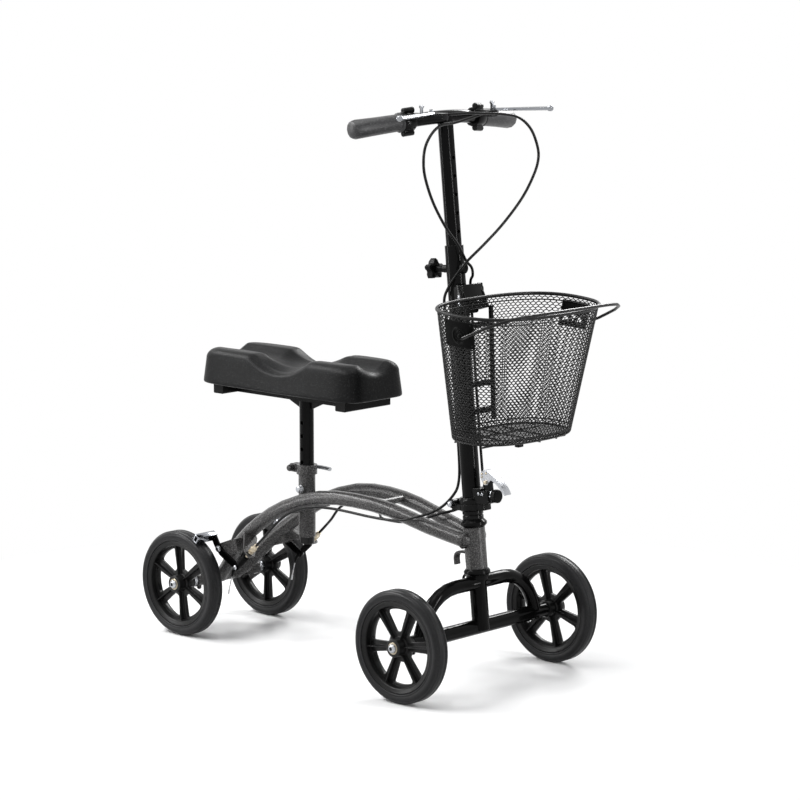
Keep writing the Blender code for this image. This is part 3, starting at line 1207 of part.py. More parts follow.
# Clamp collar on top of the socket, with two ears behind it.
bm = bmesh.new()
COLLAR_FOOT = SOCKET_TOP - CLAMP_HEIGHT + 0.0010
bore = SOCKET_RADIUS + GAP
turned(bm, at(SEAT_X, 0, COLLAR_FOOT), UP,
       [(bore, 0), (CLAMP_RADIUS, 0), (CLAMP_RADIUS, CLAMP_HEIGHT), (POST_RADIUS + GAP, CLAMP_HEIGHT),
        (POST_RADIUS + GAP, CLAMP_HEIGHT - 0.0010 + GAP), (bore, CLAMP_HEIGHT - 0.0010 + GAP)],
       16, closed=True)
collar = piece("seat_clamp_collar", bm, ZINC)
EAR_X = SEAT_X - 0.0290
EAR_Z = COLLAR_FOOT + CLAMP_HEIGHT / 2
bm = bmesh.new()
ear = rounded([(EAR_X - 0.0085, COLLAR_FOOT + 0.001), (SEAT_X - SOCKET_RADIUS - 0.0010, COLLAR_FOOT + 0.001),
               (SEAT_X - SOCKET_RADIUS - 0.0010, COLLAR_FOOT + CLAMP_HEIGHT - 0.001),
               (EAR_X - 0.0085, COLLAR_FOOT + CLAMP_HEIGHT - 0.001)], [0.006, 0, 0, 0.006], 3)
slab(bm, [at(u, -0.0070, v) for u, v in ear], LEFT * 0.0140)
combine(collar, [helper("collar_ears", bm)], "UNION")
bm = bmesh.new()
block(bm, at(EAR_X - 0.02, -0.0022, COLLAR_FOOT - 0.01), at(SEAT_X - SOCKET_RADIUS - 0.0018, 0.0022, SOCKET_TOP + 0.01))
combine(collar, [helper("collar_slot", bm)], "DIFFERENCE")
# Skewer through the ears, with its barrel nut on the right.
EAR_HALF = 0.0070
CAM_RADIUS = 0.0060
bm = bmesh.new()
turned(bm, at(EAR_X, 0, EAR_Z), LEFT,
       [(0, -0.0180), (0.0046, -0.0176), (0.0060, -0.0155), (0.0060, 0.0010 - EAR_HALF), (0.0028, 0.0010 - EAR_HALF),
        (0.0028, EAR_HALF - 0.0010), (0.0052, EAR_HALF - 0.0010), (0.0052, EAR_HALF + 0.0020),
        (0, EAR_HALF + 0.0020)], 10)
combine(collar, [helper("clamp_skewer", bm)], "UNION")

# Cam lever of the clamp on the left, closed along the frame.
CAM = at(EAR_X, EAR_HALF + 0.0020 + GAP + CAM_RADIUS, EAR_Z)
bm = bmesh.new()
rod(bm, CAM - UP * 0.0060, CAM + UP * 0.0060, CAM_RADIUS, 12)
clamp_lever = piece("seat_clamp_lever", bm, ZINC, CAM)
bm = bmesh.new()
handle = smooth([CAM + Vector(v) for v in ((0.0020, 0.0015, 0), (0.0200, 0.0080, 0.0005), (0.0400, 0.0115, 0.0005),
                                           (0.0620, 0.0100, 0))], 2)
bar(bm, handle, [0.0042] * 3 + [0.0036] * (len(handle) - 3), 8)
combine(clamp_lever, [helper("clamp_handle", bm)], "UNION")

# Height pin through the socket wall.
bm = bmesh.new()
head = SOCKET_RADIUS + GAP
turned(bm, at(SEAT_X, 0, SEAT_PIN_Z), -LEFT,
       [(0, POST_RADIUS + GAP), (SEAT_HOLE_RADIUS - GAP, POST_RADIUS + GAP), (SEAT_HOLE_RADIUS - GAP, head),
        (0.0068, head), (0.0068, head + 0.0014), (0.0060, head + 0.0016), (0.0060, head + 0.0072),
        (0.0046, head + 0.0084), (0, head + 0.0086)], 12)
piece("height_pin", bm, ZINC, at(SEAT_X, 0, SEAT_PIN_Z))

# rear brakes
for word, s in SIDES:
    y_mid = BRAKE_Y * s
    px, pz = BRAKE_PIVOT
    pivot = at(px, y_mid, pz)
    outline = strap([SHOE, (px - 0.003, pz + 0.003), (px + 0.006, pz - 0.006), BRAKE_FOOT], BRAKE_ARM_WIDTH)
    bm = bmesh.new()
    slab(bm, [at(u, y_mid - BRAKE_ARM_THICKNESS / 2, v) for u, v in outline], LEFT * BRAKE_ARM_THICKNESS)
    arm = piece(f"brake_arm_{word}", bm, SATIN_BLACK, pivot)
    more = []
    # Square-cut hollow shoe across the tyre.
    radial = Vector((math.cos(SHOE_ANGLE), 0, math.sin(SHOE_ANGLE)))
    around = Vector((-radial.z, 0, radial.x))
    inner_y = (BRAKE_Y - BRAKE_ARM_THICKNESS / 2) * s
    outer_y = (REAR_HUB_Y + TYRE_WIDTH / 2 + 0.0006) * s

    def shoe_ring(y, shrink):
        centre = at(SHOE[0], y, SHOE[1])
        return [centre + radial * a * (SHOE_HEIGHT / 2 - shrink) + around * b * (SHOE_THICKNESS / 2 - shrink)
                for a, b in ((-1, -1), (1, -1), (1, 1), (-1, 1))]

    bm = bmesh.new()
    loft(bm, [shoe_ring(inner_y, 0), shoe_ring(outer_y, 0)])
    more.append(helper(f"brake_shoe_{word}", bm))
    bm = bmesh.new()
    edge = BRAKE_ARM_THICKNESS / 2
    turned(bm, pivot, LEFT * s,
           [(0, -0.0180), (BRAKE_BOLT_RADIUS, -0.0180), (BRAKE_BOLT_RADIUS, edge - 0.0005), (0.0056, edge - 0.0005),
            (0.0056, edge + 0.0030), (0.0042, edge + 0.0042), (0, edge + 0.0044)], 10)
    more.append(helper(f"brake_bolt_{word}", bm))
    # Clamp screw and the free end of the inner wire.
    foot_point = at(BRAKE_FOOT[0], y_mid, BRAKE_FOOT[1])
    bm = bmesh.new()
    rod(bm, foot_point - LEFT * 0.0055, foot_point + LEFT * 0.0055, 0.0040, 10)
    more.append(helper(f"brake_wire_clamp_{word}", bm))
    bm = bmesh.new()
    wire = smooth([foot_point, foot_point - PULL * 0.012, foot_point + Vector((-0.0170, 0.0010, -0.0280)),
                   foot_point + Vector((-0.0240, 0.0020, -0.0520))], 3)
    bar(bm, wire, [0.0030, 0.0030, 0.0028, 0.0022] + [0.0010] * (len(wire) - 4), 6)
    more.append(helper(f"brake_wire_{word}", bm))
    combine(arm, more, "UNION")
    bm = bmesh.new()
    pocket_end = outer_y - s * 0.0300
    loft(bm, [shoe_ring(pocket_end, SHOE_WALL), shoe_ring(outer_y + s * 0.01, SHOE_WALL)])
    combine(arm, [helper(f"brake_shoe_pocket_{word}", bm)], "DIFFERENCE")

    # Brass adjuster in the cable stop, and the ribbed boot over the return spring.
    stop = at(STOP_POINT.x, y_mid, STOP_POINT.z)
    bm = bmesh.new()
    turned(bm, stop, PULL,
           [(0.0012, -0.0105), (0.0030, -0.0105), (0.0030, 0.0036), (0.0058, 0.0036), (0.0058, 0.0070),
            (0.0040, 0.0074), (0.0040, 0.0110), (0.0060, 0.0114), (0.0060, 0.0160), (0.0042, 0.0175),
            (0.0042, 0.0240), (0.0012, 0.0240)], 8, closed=True)
    piece(f"brake_adjuster_{word}", bm, BRASS)
    bm = bmesh.new()
    span = (stop - foot_point).length
    first, last = BRAKE_ARM_WIDTH / 2 + 0.0022, span - 0.0112
    ribs = 5
    profile = [(0.0012, first)]
    for k in range(ribs):
        low = first + (last - first) * k / ribs
        high = first + (last - first) * (k + 1) / ribs
        profile += [(0.0040 + 0.0010 * k / ribs, low), (0.0058 + 0.0010 * k / ribs, (low + high) / 2)]
    profile += [(0.0050, last), (0.0012, last)]
    turned(bm, foot_point, PULL, profile, 8, closed=True)
    piece(f"brake_boot_{word}", bm, RUBBER)

# basket
def basket_ring(share, grow=0.0, lift=0.0, count=32):
    """The basket's rounded outline at a share of its height, grown outwards."""
    def between(low, high):
        return low + (high - low) * share

    centre = between(BASKET_FLOOR_AHEAD, BASKET_RIM_AHEAD)
    height = between(BASKET_FLOOR_Z, BASKET_RIM_Z)
    tilt = between(BASKET_FLOOR_TILT, BASKET_RIM_TILT)
    deep = between(BASKET_FLOOR_HALF[0], BASKET_RIM_HALF[0]) + grow
    wide = between(BASKET_FLOOR_HALF[1], BASKET_RIM_HALF[1]) + grow
    ring = []
    for k in range(count):
        turn = 2 * math.pi * k / count
        c, s = math.cos(turn), math.sin(turn)
        x = math.copysign(abs(c) ** (2 / BASKET_CORNER), c) * deep
        y = math.copysign(abs(s) ** (2 / BASKET_CORNER), s) * wide
        ring.append(fore(centre + x, y, height + x * tilt + lift))
    return ring


bm = bmesh.new()
levels = [(0.0, -0.004), (0.03, 0.0), (0.5, 0.0), (1.0, 0.0)]
rings = [basket_ring(share, grow) for share, grow in levels]
inside = [basket_ring(share, grow - BASKET_WALL, BASKET_WALL if n == 0 else 0.0)
          for n, (share, grow) in enumerate(levels)]
loft(bm, rings + inside[::-1])
basket_mesh = piece("basket_mesh", bm, MESH_BLACK, fore(BASKET_FLOOR_AHEAD, 0, BASKET_FLOOR_Z))
bm = bmesh.new()
rim_line = basket_ring(1.0, 0.0)
loops = []
count = len(rim_line)
for i, p in enumerate(rim_line):
    ahead = (rim_line[(i + 1) % count] - rim_line[i - 1]).normalized()
    out = ahead.cross(UP).normalized()
    rise = out.cross(ahead).normalized()
    loops.append([bm.verts.new(p + (out * math.cos(a) + rise * math.sin(a)) * RIM_WIRE_RADIUS)
                  for a in [2 * math.pi * k / 6 for k in range(6)]])
for i in range(count):
    low, high = loops[i], loops[(i + 1) % count]
    for k in range(6):
        n = (k + 1) % 6
        bm.faces.new((low[k], low[n], high[n], high[k]))
plates = [helper("basket_rim_wire", bm)]
bail_x, bail_z = BAIL_PIVOT
PLATE_REACH = (-0.020, 0.046)   # side plate along the walker, from the middle of the rim
PLATE_SHARES = (0.765, 0.965)   # and up the wall


def wall_point(share, ahead, side, grow):
    """A point on the basket's side wall, grown outwards, at a place ahead of its middle."""
    def between(low, high):
        return low + (high - low) * share

    deep = between(BASKET_FLOOR_HALF[0], BASKET_RIM_HALF[0])
    wide = between(BASKET_FLOOR_HALF[1], BASKET_RIM_HALF[1])
    y = (1 - (abs(ahead) / deep) ** BASKET_CORNER) ** (1 / BASKET_CORNER) * wide + grow
    height = between(BASKET_FLOOR_Z, BASKET_RIM_Z) + ahead * between(BASKET_FLOOR_TILT, BASKET_RIM_TILT)
    return fore(between(BASKET_FLOOR_AHEAD, BASKET_RIM_AHEAD) + ahead, side * y, height)


for word, s in SIDES:
    # Side plate that carries the bail, riveted to the basket's side and bent to follow it.
    rings = []
    for k in range(5):
        ahead = PLATE_REACH[0] + (PLATE_REACH[1] - PLATE_REACH[0]) * k / 4
        rings.append([wall_point(PLATE_SHARES[0], ahead, s, PLATE_RISE),
                      wall_point(PLATE_SHARES[1], ahead, s, PLATE_RISE),
                      wall_point(PLATE_SHARES[1], ahead, s, -BASKET_WALL / 2),
                      wall_point(PLATE_SHARES[0], ahead, s, -BASKET_WALL / 2)])
    bm = bmesh.new()
    loft(bm, rings)
    plates.append(helper(f"bail_plate_{word}", bm))
# Two feet under the floor.
for n, (x, y) in enumerate(((0.0500, -0.0400), (0.0360, 0.0850))):
    bm = bmesh.new()
    floor = fore(BASKET_FLOOR_AHEAD + x, y, BASKET_FLOOR_Z + x * BASKET_FLOOR_TILT)
    block(bm, floor + Vector((-0.0050, -0.0070, -0.0075)), floor + Vector((0.0050, 0.0070, 0.0010)))
    plates.append(helper(f"basket_foot_{n}", bm))
combine(basket_mesh, plates, "UNION")
# The back wall is open between the bars of the carrying frame.
RAIL_Y = 0.0300
BACK_WINDOWS = ((0.165, 0.325), (0.820, 0.935))
windows = []
for n, (low, high) in enumerate(BACK_WINDOWS):
    bm = bmesh.new()
    half = RAIL_Y - 0.0070
    ends = [min(basket_ring(share), key=lambda p: p.x) for share in (low, high)]
    ring = [Vector((p.x, y, p.z)) for p, y in ((ends[0], -half), (ends[0], half), (ends[1], half), (ends[1], -half))]
    slab(bm, [p - AHEAD * 0.008 for p in ring], AHEAD * 0.020)
    windows.append(helper(f"basket_window_{n}", bm))
combine(basket_mesh, windows, "DIFFERENCE")

# Rails, cross bars and hook block that hang the basket on the carrier.


def wall_back(share):
    """The outer face of the basket's back wall at a share of its height."""
    ring = basket_ring(share)
    return min(ring, key=lambda p: p.x)


bm = bmesh.new()
low, high = wall_back(0.06), wall_back(0.93)
off = Vector((-GAP, 0, 0))
strip = []
for y in (-RAIL_Y - 0.0060, -RAIL_Y + 0.0060):
    strip.append([low + off + LEFT * y, high + off + LEFT * y])
ring = [strip[0][0], strip[1][0], strip[1][1], strip[0][1]]
slab(bm, ring, Vector((-0.0026, 0, 0)))
basket_frame = piece("basket_frame", bm, SATIN_BLACK, fore(BASKET_FLOOR_AHEAD, 0, BASKET_FLOOR_Z))
more = []
bm = bmesh.new()
slab(bm, [p + LEFT * 2 * RAIL_Y for p in ring], Vector((-0.0026, 0, 0)))
more.append(helper("basket_rail_left", bm))
for n, share in enumerate((0.118, 0.325, 0.775)):
    bm = bmesh.new()
    here = wall_back(share) + off
    nearby = wall_back(share + 0.047) + off
    across = [here + LEFT * -(RAIL_Y + 0.002), here + LEFT * (RAIL_Y + 0.002),
              nearby + LEFT * (RAIL_Y + 0.002), nearby + LEFT * -(RAIL_Y + 0.002)]
    slab(bm, [p + Vector((-0.0003, 0, 0)) for p in across], Vector((-0.0020, 0, 0)))
    more.append(helper(f"basket_bar_{n}", bm))
hook_front = CARRIER_FRONT + RAIL_STEM[1] + RAIL_HEAD[1] + 0.0040
hook_top = CARRIER_HEIGHT + 0.0020
HOOK_HALF = 0.0285
hook_low = column(CARRIER_FRONT + GAP, 0, CARRIER_FOOT + 0.0040)
share = (hook_low.z - BASKET_FLOOR_Z) / (BASKET_RIM_Z - BASKET_FLOOR_Z)
seat_off = Vector((-GAP - 0.0008, 0, 0))
side_view = [hook_low, wall_back(share) + seat_off, wall_back(0.93) + seat_off,
             column(hook_front, 0, CARRIER_FOOT + hook_top), column(CARRIER_FRONT + GAP, 0, CARRIER_FOOT + hook_top)]
bm = bmesh.new()
slab(bm, [p - LEFT * HOOK_HALF for p in side_view], LEFT * 2 * HOOK_HALF)
more.append(helper("basket_hook", bm))
combine(basket_frame, more, "UNION")
bm = bmesh.new()
column_slab(bm, rail_outline(GAP), CARRIER_FOOT - 0.01, CARRIER_HEIGHT + 0.0070 + GAP)
combine(basket_frame, [helper("basket_hook_channel", bm)], "DIFFERENCE")


def bail_half(side):
    """The bail from its pivot pin along the side and round to the middle of the front."""
    pin = wall_point((bail_z - BASKET_FLOOR_Z) / (BASKET_RIM_Z - BASKET_FLOOR_Z), bail_x - BASKET_RIM_AHEAD, 1,
                     PLATE_RISE).y + GAP + 0.0008
    run = Vector((BAIL_AHEAD - bail_x, 0, BAIL_LIFT))
    pivot = fore(bail_x, side * BAIL_HALF, bail_z)
    reach = run.length - BAIL_CORNER
    taper = LEFT * side * (BAIL_HALF - BAIL_FRONT_HALF)
    points = [fore(bail_x, side * pin, bail_z), fore(bail_x, side * (BAIL_HALF - 0.0030), bail_z),
              pivot + run.normalized() * 0.0030]
    centre = pivot + run.normalized() * reach - taper - LEFT * side * BAIL_CORNER
    for k in range(5):
        turn = math.pi / 2 * k / 4
        points.append(centre + LEFT * side * BAIL_CORNER * math.cos(turn)
                      + run.normalized() * BAIL_CORNER * math.sin(turn))
    return points


bm = bmesh.new()
line = bail_half(-1) + bail_half(1)[::-1]
bar(bm, line, BAIL_RADIUS, 8)
piece("basket_bail", bm, MESH_BLACK, fore(bail_x, 0, bail_z))

# brake cables
bx, by, bz = BARREL


def adjuster_end(side):
    """The last two points of a cable, which enter the adjuster in line with it."""
    stop = at(STOP_POINT.x, BRAKE_Y * side, STOP_POINT.z)
    return [stop + PULL * 0.0440, stop + PULL * 0.0243]


RIGHT_LOOP = [
    fore(bx, 0.0030 - by, bz), at(0.2870, -0.0100, 0.9610), at(0.2930, 0.0300, 0.9590), at(0.2980, 0.0700, 0.9560),
    at(0.3020, 0.1050, 0.9490), at(0.3070, 0.1290, 0.9300), at(0.3130, 0.1390, 0.9030), at(0.3180, 0.1370, 0.8800),
    at(0.3190, 0.1240, 0.8530), at(0.3160, 0.0980, 0.8160), at(0.3090, 0.0590, 0.7760), at(0.3010, 0.0210, 0.7440),
    at(0.2900, -0.0110, 0.7160)]
RIGHT_RUN = [
    column(0.0220, -0.0205, 0.5960), column(0.0020, -0.0235, 0.5730), column(-0.0150, -0.0175, 0.5510),
    column(-0.0225, -0.0060, 0.5150), column(-0.0205, -0.0020, 0.4500), column(-0.0205, -0.0020, 0.3500),
    column(-0.0205, -0.0030, 0.2720), column(-0.0225, -0.0070, 0.2390), column(-0.0300, -0.0120, 0.2220)]
RIGHT_STEER = [
    at(0.2480, -0.0210, 0.2990), at(0.2290, -0.0340, 0.2850), at(0.2050, -0.0450, 0.2760), at(0.1800, -0.0495, 0.2680),
    at(0.1435, -0.0500, 0.2640)]
RIGHT_FRAME = [
    at(0.1000, -0.0510, 0.2640), at(0.0550, -0.0517, 0.2657), at(0.0150, -0.0530, 0.2665), at(-0.0200, -0.0590, 0.2650),
    at(-0.0533, -0.0640, 0.2580), at(-0.0933, -0.0680, 0.2366)]
LEFT_LOOP = [
    fore(bx, by - 0.0030, bz), at(0.2780, 0.0100, 0.9520), at(0.2790, -0.0300, 0.9460), at(0.2820, -0.0650, 0.9440),
    at(0.2890, -0.0950, 0.9340), at(0.2950, -0.1190, 0.9140), at(0.3000, -0.1300, 0.8900), at(0.3020, -0.1280, 0.8620),
    at(0.3010, -0.1080, 0.8210), at(0.2960, -0.0720, 0.7780), at(0.2890, -0.0330, 0.7450), at(0.2820, -0.0050, 0.7160)]
LEFT_RUN = [
    column(0.0275, 0.0090, 0.6040), column(0.0180, 0.0215, 0.5900), column(0.0090, 0.0240, 0.5750),
    column(0.0080, 0.0240, 0.5200), column(0.0100, 0.0200, 0.4500), column(0.0110, 0.0185, 0.3500),
    column(0.0110, 0.0190, 0.2620), column(0.0060, 0.0270, 0.2340), column(-0.0130, 0.0300, 0.2160)]
LEFT_STEER = [
    at(0.2560, 0.0300, 0.2960), at(0.2350, 0.0240, 0.2830), at(0.2120, 0.0100, 0.2750), at(0.1850, -0.0050, 0.2640),
    at(0.1520, -0.0150, 0.2560), at(0.1200, -0.0205, 0.2555)]
LEFT_FRAME = [
    at(0.0950, -0.0120, 0.2550), at(0.0700, 0.0100, 0.2560), at(0.0400, 0.0300, 0.2590), at(0.0050, 0.0440, 0.2610),
    at(-0.0350, 0.0530, 0.2580), at(-0.0750, 0.0610, 0.2400), at(-0.1050, 0.0690, 0.2130)]

for word, s, lengths in (("right", -1, (RIGHT_LOOP, RIGHT_RUN, RIGHT_STEER, RIGHT_FRAME)),
                         ("left", 1, (LEFT_LOOP, LEFT_RUN, LEFT_STEER, LEFT_FRAME))):
    splits, route = [], []
    for length in lengths:
        route += length
        splits.append(len(route) - 1)
    cable([f"cable_{where}_{word}" for where in ("loop", "column", "steer", "frame")],
          route + adjuster_end(s), splits[:3])
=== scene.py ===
"""Folding knee walker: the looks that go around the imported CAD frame."""

import json
from math import atan2, copysign, cos, exp, hypot, pi, radians, sin, sqrt, tan

import bmesh
import bpy
from mathutils import Matrix, Vector, noise


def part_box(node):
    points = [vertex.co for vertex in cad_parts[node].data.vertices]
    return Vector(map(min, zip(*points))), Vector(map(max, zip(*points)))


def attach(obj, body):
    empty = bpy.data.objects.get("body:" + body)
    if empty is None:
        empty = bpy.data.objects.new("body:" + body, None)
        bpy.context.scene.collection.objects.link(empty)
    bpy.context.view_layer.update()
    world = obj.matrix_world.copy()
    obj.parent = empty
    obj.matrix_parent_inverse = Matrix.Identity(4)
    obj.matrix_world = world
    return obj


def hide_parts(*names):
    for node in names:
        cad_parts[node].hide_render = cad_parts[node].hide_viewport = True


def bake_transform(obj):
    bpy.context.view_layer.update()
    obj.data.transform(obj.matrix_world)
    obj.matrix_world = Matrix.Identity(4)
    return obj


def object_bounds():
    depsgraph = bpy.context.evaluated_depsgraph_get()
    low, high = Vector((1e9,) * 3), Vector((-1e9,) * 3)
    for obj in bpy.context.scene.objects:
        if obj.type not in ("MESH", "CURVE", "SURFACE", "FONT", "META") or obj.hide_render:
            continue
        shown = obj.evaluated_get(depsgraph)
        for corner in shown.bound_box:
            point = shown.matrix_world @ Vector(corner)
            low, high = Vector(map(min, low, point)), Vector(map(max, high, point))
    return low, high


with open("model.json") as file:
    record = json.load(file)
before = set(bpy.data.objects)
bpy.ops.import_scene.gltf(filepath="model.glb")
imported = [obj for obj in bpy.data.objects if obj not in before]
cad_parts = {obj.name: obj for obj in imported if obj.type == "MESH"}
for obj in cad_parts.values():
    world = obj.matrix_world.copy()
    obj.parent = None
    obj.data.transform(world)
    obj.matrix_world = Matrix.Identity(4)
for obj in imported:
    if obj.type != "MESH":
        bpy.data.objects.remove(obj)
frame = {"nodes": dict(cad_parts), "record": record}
CAD_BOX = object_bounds()
NODES, RECORD = frame["nodes"], frame["record"]
BODY_OF = {node: body for body, nodes in RECORD["behaviour"]["bodies"].items() for node in nodes}
SLOT_OF = {part["node"]: part["material_slot"] for part in RECORD["subparts"]}
SIDES = (("right", -1), ("left", 1))
X, Y, Z = Vector((1, 0, 0)), Vector((0, 1, 0)), Vector((0, 0, 1))


def middle(node):
    low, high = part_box(node)
    return (Vector(low) + Vector(high)) / 2


# Places are given from the middle of the wheelbase, on the floor.
MID_X = (middle("tyre_front_right").x + middle("tyre_rear_right").x) / 2
STEER_X, STEER_Z, RAKE = 0.314, 0.1, radians(5.67)
REAR_X = STEER_X - 0.0057 - 0.6166
UP_COLUMN = Vector((-sin(RAKE), 0, cos(RAKE)))
AHEAD = Vector((cos(RAKE), 0, sin(RAKE)))


def at(x, y, z):
    """A place given from the middle of the wheelbase."""
    return Vector((x + MID_X, y, z))


def fore(ahead, y, z):
    """A place given level from the foot of the steering axis."""
    return at(STEER_X + ahead, y, z)


def column(ahead, left, along):
    """A place given along the raked column."""
    return at(STEER_X, 0, STEER_Z) + AHEAD * ahead + Y * left + UP_COLUMN * along


# materials
def nodes_of(name="look"):
    mat = bpy.data.materials.new(name)
    mat.use_nodes = True
    tree = mat.node_tree
    return mat, tree, tree.nodes["Principled BSDF"]


def plug(tree, made, inputs):
    """Links or sets a node's inputs."""
    for key, value in inputs.items():
        if isinstance(value, bpy.types.NodeSocket):
            tree.links.new(value, made.inputs[key])
        else:
            made.inputs[key].default_value = value
    return made


def add(tree, kind, inputs=None, **values):
    """A node with its settings and inputs."""
    made = tree.nodes.new("ShaderNode" + kind)
    for key, value in values.items():
        setattr(made, key, value)
    return plug(tree, made, inputs or {})


def math_of(tree, operation, one, two):
    return add(tree, "Math", {0: one, 1: two}, operation=operation).outputs["Value"]


def clouds(tree, place, scale, detail, **more):
    inputs = {"Vector": place, "Scale": scale, "Detail": detail, **more}
    return add(tree, "TexNoise", inputs).outputs["Fac"]


def spread(tree, source, low, high, start=0.3, end=0.7):
    """Maps what lies between start and end onto low to high."""
    inputs = {"Value": source, "From Min": start, "From Max": end, "To Min": low, "To Max": high}
    return add(tree, "MapRange", inputs).outputs["Result"]


def mix(tree, factor, low, high):
    inputs = {"Factor": factor, "A": low, "B": high}
    return add(tree, "Mix", inputs, data_type="RGBA").outputs["Result"]


def grey(value, green=0.0, blue=0.0):
    """A grey, with a little more green and blue where given."""
    return (value, value + green, value + blue, 1)


def brighter(colour, times, more):
    return tuple(min(1, c * times + more) for c in colour[:3]) + (1,)


def dented(tree, height, strength, depth, rounding):
    """A grain over edges that are shaded round."""
    dent = {"Strength": strength, "Distance": depth, "Height": height}
    if rounding:
        dent["Normal"] = add(tree, "Bevel", {"Radius": rounding}, samples=4).outputs["Normal"]
    return add(tree, "Bump", dent).outputs["Normal"]


def surface(dark, light, rough, metal=0.0, specular=0.4, patch=14, grain=900, bump=0.1, depth=0.0004,
            rounding=0.0006, scuff=0.0, stretch=None, glint_specks=0.0):
    """Soft patches of colour and gloss, a fine grain, light specks painted in as glints, and edges rubbed a
    little brighter.
    """
    mat, tree, shader = nodes_of()
    place = add(tree, "TexCoord").outputs["Object"]
    if stretch:
        place = add(tree, "Mapping", {"Vector": place, "Scale": stretch}).outputs["Vector"]
    broad = clouds(tree, place, patch, 5, Roughness=0.6)
    fine = clouds(tree, place, grain, 3, Roughness=0.55)
    colour = mix(tree, spread(tree, broad, 0, 1), dark, light)
    # Painted glints: light specks mixed into the colour stand in for sparkle highlights on the grain.
    if glint_specks:
        glint_dots = clouds(tree, place, grain * 0.9, 2)
        colour = mix(tree, spread(tree, glint_dots, 0, 1, 0.54, 0.7), colour, brighter(light, 1.6, glint_specks))
    if scuff:
        edge = add(tree, "NewGeometry").outputs["Pointiness"]
        colour = mix(tree, spread(tree, edge, 0, scuff, 0.52, 0.62), colour, brighter(light, 2.5, 0.03))
    gloss = spread(tree, math_of(tree, "ADD", broad, fine), rough[0], rough[1], 0.7, 1.3)
    dent = dented(tree, fine, bump, depth, rounding)
    plug(tree, shader, {"Base Color": colour, "Roughness": gloss, "Normal": dent, "Metallic": metal,
                        "Specular IOR Level": specular})
    return mat


def silver_vein():
    """Dark powder coat shot with fine silver flecks, under a slightly hammered gloss."""
    mat, tree, shader = nodes_of()
    place = add(tree, "TexCoord").outputs["Object"]
    broad = clouds(tree, place, 26, 4)
    vein = clouds(tree, place, 620, 5, Roughness=0.66, Distortion=0.5)
    fleck = add(tree, "TexVoronoi", {"Vector": place, "Scale": 1150}).outputs["Distance"]
    base = mix(tree, spread(tree, broad, 0, 1), (0.018, 0.0175, 0.0175, 1), (0.03, 0.029, 0.029, 1))
    colour = mix(tree, spread(tree, vein, 0, 0.85, 0.46, 0.64), base, (0.19, 0.185, 0.183, 1))
    colour = mix(tree, spread(tree, fleck, 0.5, 0, 0.04, 0.3), colour, (0.27, 0.27, 0.28, 1))
    gloss = spread(tree, vein, 0.16, 0.3, 0.35, 0.65)
    dent = dented(tree, vein, 0.45, 0.0005, 0.0014)
    plug(tree, shader, {"Base Color": colour, "Roughness": gloss, "Normal": dent, "Metallic": 0.12,
                        "Specular IOR Level": 0.3})
    return mat


def brushed(dark, light, rough, along=(1, 1, 1)):
    """Bare metal with a fine grain along one direction."""
    return surface(dark, light, rough, metal=1.0, specular=0.5, patch=30, grain=700, bump=0.08, depth=0.0002,
                   rounding=0.0005, stretch=along)


# The tyre, rubber and cushion looks carry painted glints, light specks in their colour.
LOOKS = {
    "silver_vein": silver_vein(),
    "gloss_black": surface(grey(0.0012), grey(0.003), (0.08, 0.15), specular=0.07, patch=9, grain=520,
                           bump=0.05, rounding=0.001, scuff=0.12),
    "casting": surface(grey(0.0016), grey(0.0036), (0.09, 0.17), specular=0.11, patch=30, grain=700,
                       bump=0.12, depth=0.0005, rounding=0.003, scuff=0.15),
    "satin_black": surface(grey(0.0022), grey(0.0048), (0.26, 0.38), specular=0.05, patch=40, grain=1100,
                           bump=0.14, depth=0.0003, rounding=0.0009, scuff=0.2),
    "mesh_black": surface(grey(0.005), grey(0.01), (0.26, 0.38), specular=0.2, patch=30, grain=1500,
                          depth=0.0002, rounding=0.0),
    "nylon": surface(grey(0.007), grey(0.012), (0.24, 0.36), specular=0.16, patch=18, grain=1300, bump=0.14,
                     depth=0.0003, rounding=0.001, scuff=0.12),
    "tyre": surface(grey(0.012, 0, 0.0006), grey(0.018, 0, 0.001), (0.26, 0.38), specular=0.16, patch=16,
                    grain=1100, bump=0.2, depth=0.0003, rounding=0.0, glint_specks=0.006),
    "rubber": surface(grey(0.024, 0, 0.001), grey(0.04, 0, 0.0016), (0.3, 0.44), specular=0.34, patch=120,
                      grain=620, bump=0.6, depth=0.0005, rounding=0.0008, stretch=(1, 0.35, 1),
                      glint_specks=0.02),
    "cable": surface(grey(0.003), grey(0.0048), (0.22, 0.26), specular=0.16, patch=8, grain=2400, bump=0.02,
                     depth=0.0002, rounding=0.0),
    "cushion": surface(grey(0.005, 0.0001, 0.0003), grey(0.008, 0.0001, 0.0004), (0.3, 0.4), specular=0.085,
                       patch=11, grain=640, bump=0.6, depth=0.0006, rounding=0.0, glint_specks=0.016),
    "zinc": brushed((0.34, 0.35, 0.37, 1), (0.48, 0.49, 0.51, 1), (0.22, 0.36)),
    "chrome": brushed((0.24, 0.25, 0.27, 1), (0.36, 0.37, 0.39, 1), (0.1, 0.2), (1, 0.12, 1)),
    "brass": brushed((0.36, 0.31, 0.23, 1), (0.5, 0.44, 0.34, 1), (0.24, 0.36)),
    "steel_wire": brushed((0.38, 0.38, 0.39, 1), (0.55, 0.55, 0.56, 1), (0.3, 0.42), (1, 1, 6)),
}
for name, look in LOOKS.items():
    look.name = name


# mesh helpers
def between(low, high, share):
    return low + (high - low) * share


def rounded(made, width, segments=2, angle=35):
    """Rounds the edges that are sharper than the angle."""
    bevel = made.modifiers.new("round", "BEVEL")
    bevel.width = width
    bevel.segments = segments
    bevel.limit_method = "ANGLE"
    bevel.angle_limit = radians(angle)


def creased(made, angle):
    """Keeps edges sharper than the angle crisp under smooth shading."""
    split = made.modifiers.new("crease", "EDGE_SPLIT")
    split.split_angle = radians(angle)
    split.use_edge_sharp = False


def linked(name, data):
    made = bpy.data.objects.new(name, data)
    bpy.context.scene.collection.objects.link(made)
    return made


